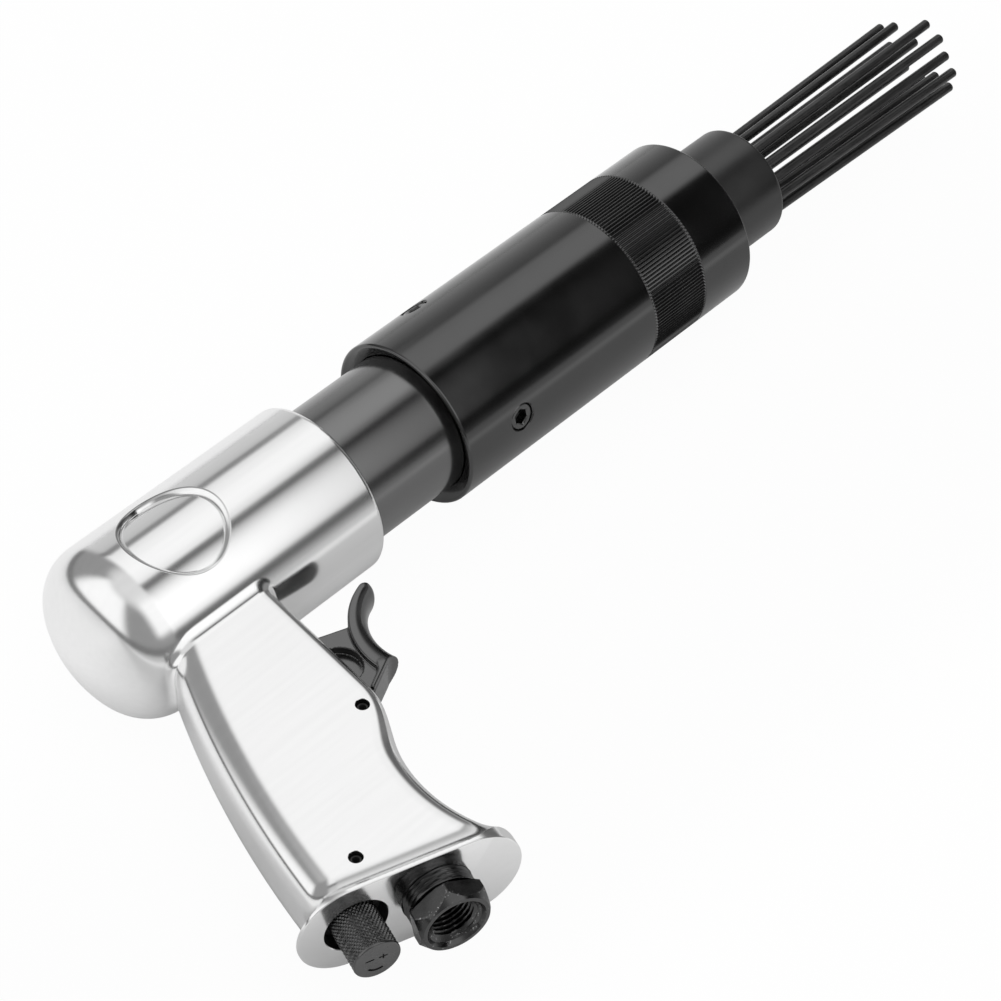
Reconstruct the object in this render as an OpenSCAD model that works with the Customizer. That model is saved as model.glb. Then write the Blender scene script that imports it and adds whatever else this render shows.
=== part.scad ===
// Needle scaler: a pistol-grip air hammer with a needle attachment clamped on its barrel.
// The tool lies on its side: +X runs along the barrel to the needle tips, -Y down the grip,
// and +Z up from the surface that it lies on. Sizes are in millimetres.

/* [Housing] */
// Outer diameter of the cast cylinder
housing_d = 51.2; // [50:0.2:58]
// Length from the front face to the rear of the dome
housing_l = 86.8; // [86:0.2:100]
// Radius of the dome's corner
dome_corner_r = 14; // [12:1:20]
// Radius of the dome's shallow cap
dome_cap_r = 38; // [34:1:60]
// Rounding of the front edge
housing_edge_r = 1; // [0.5:0.1:2]
// Diameter of the round recess on the side
recess_d = 27; // [20:1:32]
// Depth of the round recess
recess_depth = 0.9; // [0.5:0.1:1.5]
// Distance of the recess behind the front face
recess_back = 51.6; // [44:0.1:54]

/* [Grip] */
// Angle by which the grip leans back
grip_rake = 18.9; // [15:0.1:22]
// Width of the grip across its flat sides
grip_w = 24; // [23:0.5:27]
// Distance of the back strap behind the front face, square to the grip
grip_back = 66.9; // [65:0.1:69]
// Depth of the grip at the middle of the finger hollow
grip_depth = 43; // [41:0.5:46]
// Length of the grip from the barrel's axis to the end of the flange
grip_l = 135.1; // [132:0.1:140]
// Radius along the back strap
strap_r = 310; // [220:10:500]
// Height of the strap's crest below the barrel's axis
strap_drop = 94; // [85:1:105]
// Rounding of the two back edges
back_edge_r = 6; // [3:0.5:8]
// Rounding of the two front edges
front_edge_r = 5; // [3:0.5:7]
// Radius of the finger hollow
hollow_r = 43; // [40:1:50]
// Height of the hollow's middle below the barrel's axis
hollow_drop = 101.7; // [100:0.1:104]
// Lean of the front face against the grip, above the trigger pin
front_lean = 12.5; // [10:0.5:14]
// Metal between the trigger pin's centre and the front face
front_cover = 6.3; // [5.8:0.1:7]
// Length of the flange at the bottom of the grip
flange_l = 61; // [58:0.5:64]
// Width of the flange
flange_w = 29; // [28.5:0.5:32]
// Thickness of the flange's rim
flange_t = 2.5; // [1.5:0.1:3]
// How far the flange stands out behind the strap's crest
flange_lip = 3.1; // [2:0.1:4]
// Radius of the flare above the flange
flare_r = 6.5; // [5.5:0.5:8]

/* [Barrel and valve] */
// Outer diameter of the steel barrel
barrel_d = 42.1; // [41:0.1:44]
// Length of barrel that shows between housing and sleeve
barrel_show = 33.3; // [28:0.1:40]
// Length of barrel inside the sleeve
barrel_grip = 33.7; // [32:0.1:36]
// Length of barrel inside the housing
barrel_seat = 62.2; // [58:0.1:64]
// Diameter of the piston
piston_d = 24; // [20:0.5:26]
// Length of the piston
piston_l = 45; // [40:0.5:48]
// Stroke of the piston
piston_stroke = 54; // [40:1:55]
// Thickness of the port plate behind the barrel
port_plate_t = 4; // [3:0.1:4.5]
// Thickness of the valve case
valve_case_t = 8; // [6.5:0.1:8.5]
// Thickness of the rear gasket
gasket_t = 1.5; // [0.8:0.1:2]
// Diameter of the flutter disc
disc_d = 20; // [16:0.5:22]
// Thickness of the flutter disc
disc_t = 1.6; // [1.2:0.1:2]
// Travel of the flutter disc
disc_travel = 1.2; // [0.8:0.1:1.6]
// Diameter of the dowel that lines up the valve pieces
dowel_d = 3; // [2:0.5:4]

/* [Trigger and throttle] */
// Distance of the trigger pin in front of the back strap's crest
pin_front = 40.1; // [39:0.1:42]
// Height of the trigger pin below the barrel's axis, along the grip
pin_drop = 82.5; // [81.5:0.1:84]
// Diameter of the two cross pins
pin_d = 3.5; // [3:0.1:4]
// How far the cross pins lie below the grip's flat sides
pin_sink = 0.8; // [0.4:0.1:2]
// Width of the finger piece
finger_w = 12; // [11:0.5:14]
// Inner radius of the finger piece
finger_r = 16.6; // [15:0.1:18]
// Thickness of the finger piece
finger_t = 5.8; // [5:0.1:6.5]
// Thickness of the trigger's web
web_w = 9.2; // [8:0.1:10]
// Diameter of the round pocket in each side of the web
pocket_d = 13.4; // [11:0.1:14]
// Thickness of the web that is left between the pockets
pocket_web = 3; // [2.4:0.1:4]
// Travel of the trigger in degrees
trigger_swing = 12; // [8:1:13]
// Height of the throttle stem above the trigger pin
throttle_arm = 18.5; // [17:0.1:20]
// Diameter of the throttle stem
stem_d = 5; // [4:0.2:5.6]
// Outer diameter of the throttle bush
bush_d = 12; // [11:0.2:13]
// Length of the throttle bush
bush_l = 11.8; // [10:0.1:12.5]
// Diameter of the stem's head
head_d = 8.4; // [7.6:0.1:9]
// Thickness of the stem's head
head_t = 3; // [2:0.1:3.5]
// Thickness of the throttle seal
seal_t = 1; // [0.6:0.1:1.4]

/* [Regulator and inlet] */
// Distance of the regulator's axis in front of the back strap's crest
regulator_front = 12.7; // [12:0.1:13.4]
// Distance from the regulator's axis to the inlet's axis
fitting_pitch = 21.75; // [21:0.05:22.5]
// Diameter of the knurled regulator knob
knob_d = 13; // [12:0.1:15]
// How far the knob stands out of the flange
knob_out = 11.5; // [9:0.1:14]
// Diameter of the recess round the knob
knob_recess_d = 17.3; // [16.4:0.1:18.4]
// Depth of the recess round the knob
knob_recess_l = 4.9; // [3:0.1:6]
// Diameter of the regulator's stem
valve_stem_d = 11; // [10:0.2:11.6]
// Length of the regulator's stem
valve_stem_l = 23.6; // [22:0.1:25]
// Height of the regulator pin above the end of the flange
lock_pin_up = 10.4; // [9.8:0.1:11]
// Thread diameter of the inlet bush
inlet_d = 19; // [18:0.1:20]
// Depth of the inlet bush inside the grip
inlet_seat = 17.1; // [15:0.1:18.5]
// Length of thread that shows below the flange
inlet_neck = 5.1; // [3:0.1:7]
// Width of the inlet bush's hexagon across its flats
inlet_hex = 19.6; // [19:0.1:22]
// Length of the hexagon
inlet_hex_l = 5.5; // [4:0.1:8]
// Diameter of the inlet's threaded bore
inlet_bore_d = 11.4; // [10.6:0.1:12]
// Depth of the inlet's threaded bore
inlet_bore_l = 16; // [13:0.1:18]
// Diameter of the bore's chamfered mouth
inlet_mouth_d = 14.8; // [13.5:0.1:16]
// Diameter of the air passages
passage_d = 7; // [6:0.1:7.6]

/* [Needle attachment] */
// Outer diameter of the sleeve and the front collar
sleeve_d = 51; // [49.5:0.1:54]
// Length of the rear sleeve that shows
sleeve_l = 75.7; // [73:0.1:85]
// Length of the front collar
collar_l = 40.9; // [38:0.1:46]
// Length of the threaded joint between sleeve and collar
joint_l = 17; // [14:0.1:18]
// Outer diameter of the nose
nose_d = 34.6; // [33.5:0.1:37]
// Length of the nose
nose_l = 24.7; // [20:0.1:30]
// Rounding of the nose's front edge
nose_edge_r = 1.2; // [0.6:0.1:1.8]
// Diameter of the clamp screws
screw_d = 8; // [6:0.5:9]
// Distance of the clamp screws from the sleeve's rear face
screw_back = 21; // [17:0.1:24]
// Width of a clamp screw's socket across its flats
socket_w = 4; // [3:0.5:4.5]
// Thickness of the anvil's flange
anvil_t = 10; // [8:0.1:12]
// Diameter of the anvil's shank
shank_d = 20; // [16:0.5:21]
// Thickness of the needle holder
holder_t = 12; // [10:0.1:14]
// Diameter of a needle
needle_d = 3; // [2.6:0.1:3.1]
// Length of a needle with its head
needle_l = 181; // [175:1:190]
// Thickness of a needle's head
needle_head_t = 2; // [1.5:0.1:2.5]
// Width of the bundle where it leaves the holder, as a share of its width at the tips
bundle_draw = 0.76; // [0.74:0.01:0.78]
// Forward travel of the needles
needle_travel = 8; // [4:1:9]
// Wire diameter of the return spring
return_wire_d = 2.6; // [2:0.1:2.8]
// Turns of the return spring
return_turns = 7; // [5:1:8]

/* [Clearances] */
// Gap between pieces that are screwed or pressed together
seat_gap = 0.1; // [0.05:0.01:0.12]
// Running gap round pieces that slide or turn
run_gap = 0.06; // [0.02:0.01:0.09]
// Free gap beside pieces that swing or travel
free_gap = 0.4; // [0.35:0.05:0.5]

/* [Hidden] */
$fn = 96;

// Where each needle's tip lies across the bundle, [y, z]; loose needles spread unevenly
needle_tips = [[14.5, 1], [9.5, 4.5], [10, -3.5], [-2, 12], [1.5, 3], [-7.5, 9.5],
    [3.5, -8], [-10.5, 4.5], [-3, -8.5], [-8, -5], [-14, 0], [-13.5, -6]];

// Places along the barrel's axis, measured from the housing's front face
housing_r = housing_d / 2;
barrel_r = barrel_d / 2;
dome_corner_in = housing_r - dome_corner_r;
dome_cap_in = sqrt(pow(dome_cap_r - dome_corner_r, 2) - pow(dome_corner_in, 2));
dome_l = dome_cap_r - dome_cap_in;
port_plate_x = -barrel_seat - port_plate_t;
valve_case_x = port_plate_x - valve_case_t;
cavity_x = valve_case_x - gasket_t;
sleeve_x = barrel_show;
barrel_end = sleeve_x + barrel_grip;
anvil_x = barrel_end + 2 * free_gap;
heads_x = anvil_x + anvil_t + seat_gap;
holder_x = heads_x + needle_head_t + seat_gap;
spring_x = holder_x + holder_t + seat_gap;
collar_x = sleeve_x + sleeve_l;
collar_end = collar_x + collar_l;
nose_end = collar_end + nose_l;
tip_x = heads_x + needle_l;

// Sizes inside the attachment
sleeve_r = sleeve_d / 2;
sleeve_bore_r = barrel_r + 2.5 * seat_gap;
guide_r = barrel_r - 0.65;
slide_r = guide_r - 0.5;
joint_r = (sleeve_r + guide_r) / 2;
nose_wall = 2.3;
nose_bore_r = nose_d / 2 - nose_wall;
collar_wall = 4.6;
spring_end = collar_end - collar_wall;
return_r = slide_r - return_wire_d / 2 - 0.8;
screw_r = screw_d / 2;
screw_sink = 0.5;
screw_groove = 1.5;
head_r = needle_d / 2 + 0.45;
screw_angles = [47.5, 167.5, 287.5];

// Sizes inside the barrel
piston_r = piston_d / 2;
piston_x = -barrel_seat + 1.5;
piston_end = piston_x + piston_l + piston_stroke;
shank_x = piston_end + 0.6;
bush_x = shank_x + 1.5;
disc_x = port_plate_x - disc_travel - disc_t - 0.3;
dowel_y = barrel_r - dowel_d - 1;

// Places in the grip's own frame: x across the grip towards its front, y up along it
crest_x = -grip_back;
flange_y = -grip_l;
rim_y = flange_y + flange_t;
flange_r = flange_w / 2;
flange_rear_x = crest_x - flange_lip + flange_r;
flange_front_x = crest_x - flange_lip + flange_l - flange_r;
hollow_x = crest_x + grip_depth + hollow_r;
pin_x = crest_x + pin_front;
pin_y = -pin_drop;
regulator_x = crest_x + regulator_front;
inlet_x = regulator_x + fitting_pitch;
regulator_pin_x = regulator_x + 5;
regulator_pin_y = flange_y + lock_pin_up;
recess_y = flange_y + knob_recess_l;
stem_top_y = recess_y + valve_stem_l;
knob_y = flange_y - knob_out;
inlet_top_y = flange_y + inlet_seat;
inlet_neck_y = flange_y - inlet_neck;
inlet_end_y = inlet_neck_y - inlet_hex_l;
gallery_y = stem_top_y - passage_d / 2 + 0.6;
throttle_y = pin_y + throttle_arm;
grip_half = grip_w / 2;
pin_r = pin_d / 2;
pin_half = grip_half - pin_sink;

// Places in the trigger's own frame, with the pin at its origin
finger_x = 31.7;
finger_y = 22.9;
tip_angle = 121;
bump_angle = 209;
web_top = 31;
boss_r = 4.2;
slot_half = web_w / 2 + free_gap;
slot_x = -web_top * sin(trigger_swing) - 0.7;
slot_low = -boss_r - 0.7;
slot_high = web_top + 2.4;
bush_end_x = slot_x - bush_l;
stem_seal_x = bush_end_x - seat_gap;
stem_head_x = stem_seal_x - seal_t;
stem_end_x = stem_head_x - head_t;
throttle_end_x = stem_end_x - 11;
stem_r = stem_d / 2;
throttle_bore_r = bush_d / 2 + seat_gap;
throttle_wire_d = 0.9;
throttle_turns = 5;

// Reach of the whole tool, for its place on the surface that it lies on
reach_back = -(crest_x - flange_lip) * cos(grip_rake) + grip_l * sin(grip_rake);
hex_corner = inlet_hex / 2 / cos(30);
reach_down = -inlet_end_y * cos(grip_rake) + (inlet_x + hex_corner) * sin(grip_rake);

// Places the tool on its side, with the middle of its box at x = 0, y = 0 and its low side at z = 0
module lay() {
    translate([(reach_back - tip_x) / 2, (reach_down - housing_r) / 2, housing_r]) children();
}

// Turns a shape along +Z to lie along +X from a place on the barrel's axis
module along_barrel(x) {
    translate([x, 0, 0]) rotate([0, 90, 0]) children();
}

// Ring or disc round the barrel's axis from x0 to x1
module ring(x0, x1, r, bore = 0) {
    along_barrel(x0) difference() {
        cylinder(h = x1 - x0, r = r);
        if (bore > 0) translate([0, 0, -1]) cylinder(h = x1 - x0 + 2, r = bore);
    }
}

// Frame of the grip, leaning back under the cylinder
module grip_frame() {
    rotate([0, 0, -grip_rake]) children();
}

// Frame of the trigger: the pin at its origin, x across the grip and y up along it
module trigger_frame() {
    grip_frame() translate([pin_x, pin_y, 0]) children();
}

// Round bar or bore down the grip from y0 to the lower y1
module down_grip(x, y0, y1, r0, r1) {
    translate([x, y0, 0]) rotate([90, 0, 0]) cylinder(h = y0 - y1, r1 = r0, r2 = r1);
}

// Round bar or bore across the grip from x0 back to x1
module across_grip(x0, x1, y, r) {
    translate([x1, y, 0]) rotate([0, 90, 0]) cylinder(h = x0 - x1, r = r);
}

// Coil spring along +Z as one unbroken tube of six sides, eight rings to a turn
function coil_centre(i, n, r, wire, l, turns) =
    [r * cos(360 * turns * i / n), r * sin(360 * turns * i / n), wire / 2 + (l - wire) * i / n];
function coil_gap(n, r, wire, l, turns) =
    min([for (i = [0:n]) for (j = [i + 6:n])
        norm(coil_centre(i, n, r, wire, l, turns) - coil_centre(j, n, r, wire, l, turns))]) - wire;
module coil(r, wire, l, turns) {
    n = 8 * turns;
    points = [for (i = [0:n]) for (k = [0:5])
        coil_centre(i, n, r, wire, l, turns)
        + wire / 2 * [cos(60 * k) * cos(360 * turns * i / n), cos(60 * k) * sin(360 * turns * i / n),
            sin(60 * k)]];
    sides = [for (i = [0:n - 1]) for (k = [0:5])
        let (a = 6 * i + k, b = 6 * i + (k + 1) % 6)
            each [[a, b, b + 6], [a, b + 6, a + 6]]];
    ends = [for (k = [1:4]) each [[0, k + 1, k], [6 * n, 6 * n + k, 6 * n + k + 1]]];
    polyhedron(points, concat(sides, ends));
}

// Profile of the cylinder and its dome, from the axis outwards, rear end up
module dome_profile() {
    straight_l = housing_l - dome_l;
    translate([0, housing_edge_r]) square([housing_r, straight_l - housing_edge_r]);
    square([housing_r - housing_edge_r, straight_l]);
    translate([housing_r - housing_edge_r, housing_edge_r]) circle(r = housing_edge_r);
    intersection() {
        translate([dome_corner_in, straight_l]) circle(r = dome_corner_r);
        square([housing_r + 1, housing_l + 1]);
    }
    intersection() {
        translate([0, housing_l - dome_cap_r]) circle(r = dome_cap_r);
        polygon([[0, housing_l - dome_cap_r], [2 * dome_corner_in, straight_l + dome_cap_in],
            [2 * dome_corner_in, housing_l + 1], [0, housing_l + 1]]);
    }
}

// Outline of the flange: two round ends and the straight stretch between them
module flange_outline(r) {
    translate([flange_rear_x, -r]) square([flange_front_x - flange_rear_x, 2 * r]);
    for (x = [flange_rear_x, flange_front_x]) translate([x, 0]) circle(r = r);
}

// Section of the grip towards one edge: flat sides with both corners rounded
module edge_section(edge_r, l, half) {
    translate([edge_r, -half]) square([l, 2 * half]);
    translate([0, -half + edge_r]) square([edge_r + 1, 2 * (half - edge_r)]);
    for (s = [-1, 1]) translate([edge_r, s * (half - edge_r)]) circle(r = edge_r);
}

// Flare that widens the grip to the flange: a block hollowed along its sides and round its rear
module flare_block() {
    side_h = sqrt(pow(flare_r, 2) - pow(flare_r - flange_r + grip_half, 2));
    rear_wall = flange_rear_x - crest_x - 2.4;
    rear_h = sqrt(pow(flare_r, 2) - pow(flare_r - flange_r + rear_wall, 2));
    difference() {
        translate([0, rim_y + rear_h, 0]) rotate([90, 0, 0]) linear_extrude(rear_h + flange_t / 2)
            flange_outline(flange_r - 0.2);
        for (s = [-1, 1]) translate([0, rim_y + side_h, s * (grip_half + flare_r - 0.15)])
            rotate([0, 90, 0]) cylinder(h = 200, r = flare_r, center = true);
        translate([flange_rear_x, rim_y + rear_h, 0]) rotate([90, 0, 0])
            rotate_extrude(angle = 360) translate([rear_wall + flare_r, 0]) circle(r = flare_r);
    }
}

// Back strap, flat sides and flare, with the finger hollow cut into their front
module grip_block() {
    difference() {
        union() {
            intersection() {
                translate([crest_x + strap_r, -strap_drop, 0]) rotate([0, 0, 165])
                    rotate_extrude(angle = 30, $fn = 360) translate([strap_r, 0])
                        mirror([1, 0]) edge_section(back_edge_r, 80, grip_half);
                rotate([90, 0, 0]) linear_extrude(grip_l - 1) flange_outline(flange_r - 0.4);
                rotate([0, 0, grip_rake]) translate([-150, -150, -50]) cube([200, 130, 100]);
            }
            flare_block();
        }
        translate([hollow_x, -hollow_drop, 0]) rotate_extrude($fn = 180) difference() {
            translate([0, -flange_r - 1]) square([hollow_r + front_edge_r, flange_w + 2]);
            translate([hollow_r, 0]) edge_section(front_edge_r, 20, grip_half + 0.3);
        }
    }
}

// Solid grip before its bores: the block with its flange, cut to the sloping front face
module grip_body() {
    difference() {
        union() {
            grip_block();
            translate([0, rim_y, 0]) rotate([90, 0, 0]) linear_extrude(flange_t)
                flange_outline(flange_r);
        }
        translate([pin_x, pin_y, 0]) rotate([0, 0, front_lean]) translate([front_cover, 60, 0])
            rotate([90, 0, 0]) linear_extrude(72) difference() {
                translate([-front_edge_r, -grip_half - 1]) square([60, grip_w + 2]);
                mirror([1, 0]) edge_section(front_edge_r, 20, grip_half + 0.3);
            }
    }
}

// Die-cast housing: cylinder with domed end, raked grip, bores, air passages and trigger slot
module housing() {
    color("silver") lay() difference() {
        union() {
            along_barrel(0) mirror([0, 0, 1]) rotate_extrude() dome_profile();
            grip_frame() grip_body();
        }
        along_barrel(cavity_x) cylinder(h = -cavity_x + 1, r = barrel_r + seat_gap);
        translate([-recess_back, 0, 0]) difference() {
            cylinder(h = housing_r + 1, d = recess_d);
            along_barrel(-recess_d) cylinder(h = 2 * recess_d, r = housing_r - recess_depth);
        }
        trigger_frame() {
            translate([slot_x, slot_low, -slot_half])
                cube([60, slot_high - slot_low, 2 * slot_half]);
            across_grip(slot_x + 1, throttle_end_x, throttle_arm, throttle_bore_r);
            cylinder(h = grip_w + 2, r = pin_r + seat_gap, center = true);
        }
        grip_frame() {
            down_grip(regulator_x, throttle_y, stem_top_y - 1, passage_d / 2, passage_d / 2);
            down_grip(regulator_x, stem_top_y + 1, recess_y - 1, valve_stem_d / 2 + run_gap,
                valve_stem_d / 2 + run_gap);
            down_grip(regulator_x, recess_y, flange_y - 1, knob_recess_d / 2, knob_recess_d / 2);
            down_grip(inlet_x, gallery_y + passage_d / 2, inlet_top_y - 1, passage_d / 2, passage_d / 2);
            down_grip(inlet_x, inlet_top_y + gasket_t / 2, flange_y - 1, inlet_d / 2 + seat_gap,
                inlet_d / 2 + seat_gap);
            across_grip(inlet_x, regulator_x, gallery_y, passage_d / 2 - 0.5);
            translate([regulator_pin_x, regulator_pin_y, 0])
                cylinder(h = grip_w + 8, r = pin_r + seat_gap, center = true);
        }
        air_port();
    }
}

// Slanting air passage from the throttle to the valve behind the barrel
module air_port() {
    bush_mid = pin_x + slot_x - bush_l / 2;
    foot_x = bush_mid * cos(grip_rake) + throttle_y * sin(grip_rake);
    foot_y = -bush_mid * sin(grip_rake) + throttle_y * cos(grip_rake);
    top_x = valve_case_x + valve_case_t / 2;
    top_y = 4 - barrel_r;
    l = norm([top_x - foot_x, top_y - foot_y]);
    translate([foot_x, foot_y, 0]) rotate([0, 0, atan2(top_y - foot_y, top_x - foot_x)])
        rotate([0, 90, 0]) cylinder(h = l, d = passage_d - 1);
}

// Steel barrel: piston bore, shank bore and the groove that the clamp screws seat in
module barrel() {
    color("dimgray") lay() difference() {
        ring(-barrel_seat, barrel_end, barrel_r);
        along_barrel(-barrel_seat - 1) cylinder(h = bush_x + barrel_seat + 1, r = piston_r + run_gap);
        along_barrel(0) cylinder(h = barrel_end + 1, d = shank_d + 2 * run_gap);
        along_barrel(sleeve_x + screw_back - screw_r - 0.5) difference() {
            cylinder(h = screw_d + 1, r = barrel_r + 1);
            translate([0, 0, -1]) cylinder(h = screw_d + 3, r = barrel_r - screw_groove);
        }
        translate([0, -dowel_y, 0]) along_barrel(-barrel_seat - 1)
            cylinder(h = 5, d = dowel_d + 2 * seat_gap);
    }
}

// Rear gasket between the valve case and the housing
module valve_gasket() {
    color("darkslategray") lay() ring(cavity_x, valve_case_x, barrel_r - 0.5, disc_d / 2);
}

// Valve case: the cup that the flutter disc moves in
module valve_case() {
    color("darkgray") lay() difference() {
        ring(valve_case_x, port_plate_x, barrel_r);
        along_barrel(disc_x - 0.3) cylinder(h = valve_case_t, d = disc_d + 2 * free_gap);
        along_barrel(valve_case_x - 1) cylinder(h = valve_case_t, d = disc_d / 2);
        for (a = [45:90:315]) rotate([a, 0, 0]) translate([0, (disc_d / 2 + barrel_r) / 2, 0])
            along_barrel(valve_case_x - 1) cylinder(h = valve_case_t + 2, r = 1.6);
        translate([0, -dowel_y, 0]) along_barrel(valve_case_x - 1)
            cylinder(h = valve_case_t + 2, d = dowel_d + 2 * seat_gap);
    }
}

// Flutter disc that sends the air to either end of the piston
module flutter_disc() {
    color("lightsteelblue") lay() ring(disc_x, disc_x + disc_t, disc_d / 2, disc_d / 6);
}

// Port plate between the valve case and the barrel
module port_plate() {
    color("gray") lay() difference() {
        ring(port_plate_x, -barrel_seat, barrel_r, disc_d / 5);
        for (a = [45:90:315]) rotate([a, 0, 0]) translate([0, (disc_d / 2 + barrel_r) / 2, 0])
            along_barrel(port_plate_x - 1) cylinder(h = port_plate_t + 2, r = 1.6);
        translate([0, -dowel_y, 0]) along_barrel(port_plate_x - 1)
            cylinder(h = port_plate_t + 2, d = dowel_d + 2 * seat_gap);
    }
}

// Dowel through the valve case and port plate into the barrel
module valve_dowel() {
    color("silver") lay() translate([0, -dowel_y, 0])
        ring(valve_case_x + 1, -barrel_seat + 3.5, dowel_d / 2);
}

// Piston that strikes the anvil, with two grooves and a relieved front end
module piston() {
    chamfer = 1.5;
    groove = 0.6;
    color("slategray") lay() difference() {
        union() {
            ring(piston_x, piston_x + piston_l - chamfer, piston_r);
            along_barrel(piston_x + piston_l - chamfer)
                cylinder(h = chamfer, r1 = piston_r, r2 = piston_r - chamfer);
        }
        for (x = [piston_l / 4, piston_l * 3 / 4])
            ring(piston_x + x - 1, piston_x + x + 1, piston_r + 1, piston_r - groove);
        along_barrel(piston_x - 1) cylinder(h = piston_l / 3, r = piston_r / 2);
    }
}

// Curved finger piece of the trigger as a flat outline
module finger_outline() {
    mid_r = finger_r + finger_t / 2;
    translate([finger_x, finger_y]) {
        intersection() {
            difference() {
                circle(r = finger_r + finger_t);
                circle(r = finger_r);
            }
            polygon([[0, 0], 60 * [cos(tip_angle), sin(tip_angle)], [-60, 60],
                60 * [cos(bump_angle), sin(bump_angle)]]);
        }
        for (a = [tip_angle, bump_angle]) translate(mid_r * [cos(a), sin(a)]) circle(d = finger_t);
    }
}

// Web of the trigger: from the finger piece back to the pin
module web_outline() {
    polygon([[0, web_top], [11.5, web_top - 1], [16, 13.4], [7.3, 4.6], [boss_r, -1], [0, -1]]);
    circle(r = boss_r);
}

// Rim along the web's lower edge, from the finger piece back to the grip
module rim_outline() {
    polygon([[16.8, 13], [14.2, 10.6], [7.6, 4.4], [6.9, 5.3], [10.5, 10.2], [12.6, 14]]);
}

// Trigger: finger piece and lower rim on a thinner web with round pockets
module trigger() {
    pocket_deep = (web_w - pocket_web) / 2;
    color([0.12, 0.12, 0.12]) lay() trigger_frame() difference() {
        union() {
            linear_extrude(finger_w, center = true) finger_outline();
            linear_extrude(finger_w, center = true) rim_outline();
            linear_extrude(web_w, center = true) web_outline();
        }
        cylinder(h = finger_w, r = pin_r + run_gap, center = true);
        for (s = [0, 1]) mirror([0, 0, s]) intersection() {
            translate([2, throttle_arm, pocket_web / 2]) cylinder(h = pocket_deep + 1, d = pocket_d);
            difference() {
                translate([-10, 6.8, 0]) cube([30, 30, finger_w]);
                translate([finger_x, finger_y, 0])
                    cylinder(h = finger_w, r = finger_r + finger_t);
            }
        }
    }
}

// Pin that the trigger turns on
module trigger_pin() {
    color("gray") lay() trigger_frame() cylinder(h = 2 * pin_half, r = pin_r, center = true);
}

// Bush that guides the throttle stem and carries its seat
module throttle_bush() {
    color("goldenrod") lay() trigger_frame() difference() {
        across_grip(slot_x, bush_end_x, throttle_arm, bush_d / 2);
        across_grip(slot_x + 1, bush_end_x - 1, throttle_arm, stem_r + run_gap);
        across_grip(slot_x - bush_l / 3, bush_end_x - 1, throttle_arm, stem_r + 1);
        translate([slot_x - bush_l / 2, throttle_arm, 0]) rotate([-90, 0, 0])
            cylinder(h = bush_d, r = 1.6);
    }
}

// Throttle stem: a round-ended rod with a head that closes the seat
module throttle_stem() {
    color("silver") lay() trigger_frame() {
        across_grip(-free_gap - stem_r, stem_end_x, throttle_arm, stem_r);
        translate([-free_gap - stem_r, throttle_arm, 0]) sphere(r = stem_r);
        across_grip(stem_head_x, stem_end_x, throttle_arm, head_d / 2);
    }
}

// Soft seal between the stem's head and the seat
module throttle_seal() {
    color("black") lay() trigger_frame() difference() {
        across_grip(stem_seal_x, stem_head_x, throttle_arm, head_d / 2 - 0.2);
        across_grip(stem_seal_x + 1, stem_head_x - 1, throttle_arm, stem_r);
    }
}

// Spring behind the stem's head
module throttle_spring() {
    l = stem_end_x - throttle_end_x - 2 * seat_gap;
    r = head_d / 2 - throttle_wire_d / 2 - 0.3;
    echo(str("throttle spring gap ", coil_gap(8 * throttle_turns, r, throttle_wire_d, l, throttle_turns)));
    color("lightgray") lay() trigger_frame() translate([throttle_end_x + seat_gap, throttle_arm, 0])
        rotate([0, 90, 0]) coil(r, throttle_wire_d, l, throttle_turns);
}

// Regulator: knurled knob and a stem whose half-cut end opens or closes the air gallery
module regulator_knob() {
    chamfer = 0.5;
    knob_r = knob_d / 2;
    neck_r = regulator_pin_x - regulator_x - pin_r - 0.3;
    ring_y = (regulator_pin_y + stem_top_y) / 2;
    color([0.15, 0.15, 0.15]) lay() grip_frame() difference() {
        union() {
            down_grip(regulator_x, stem_top_y, recess_y - 1, valve_stem_d / 2, valve_stem_d / 2);
            down_grip(regulator_x, recess_y - 0.5, knob_y + chamfer, knob_r, knob_r);
            down_grip(regulator_x, knob_y + chamfer, knob_y, knob_r, knob_r - chamfer);
        }
        translate([regulator_x, regulator_pin_y, 0]) rotate([90, 0, 0]) difference() {
            cylinder(h = pin_d + 0.8, r = valve_stem_d, center = true);
            cylinder(h = pin_d + 2, r = neck_r, center = true);
        }
        translate([regulator_x, ring_y, 0]) rotate([90, 0, 0]) difference() {
            cylinder(h = 2.4, r = valve_stem_d, center = true);
            cylinder(h = 4, r = valve_stem_d / 2 - 1.5, center = true);
        }
        translate([regulator_x, stem_top_y - passage_d, -valve_stem_d])
            cube([valve_stem_d, passage_d + 1, 2 * valve_stem_d]);
    }
}

// Sealing ring in the regulator stem's groove
module regulator_ring() {
    ring_y = (regulator_pin_y + stem_top_y) / 2;
    color("black") lay() grip_frame() translate([regulator_x, ring_y, 0]) rotate([90, 0, 0])
        rotate_extrude() translate([valve_stem_d / 2 - 0.75, 0]) circle(r = 0.75);
}

// Pin that holds the regulator in the grip
module regulator_pin() {
    color("gray") lay() grip_frame() translate([regulator_pin_x, regulator_pin_y, 0])
        cylinder(h = 2 * pin_half, r = pin_r, center = true);
}

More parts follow.
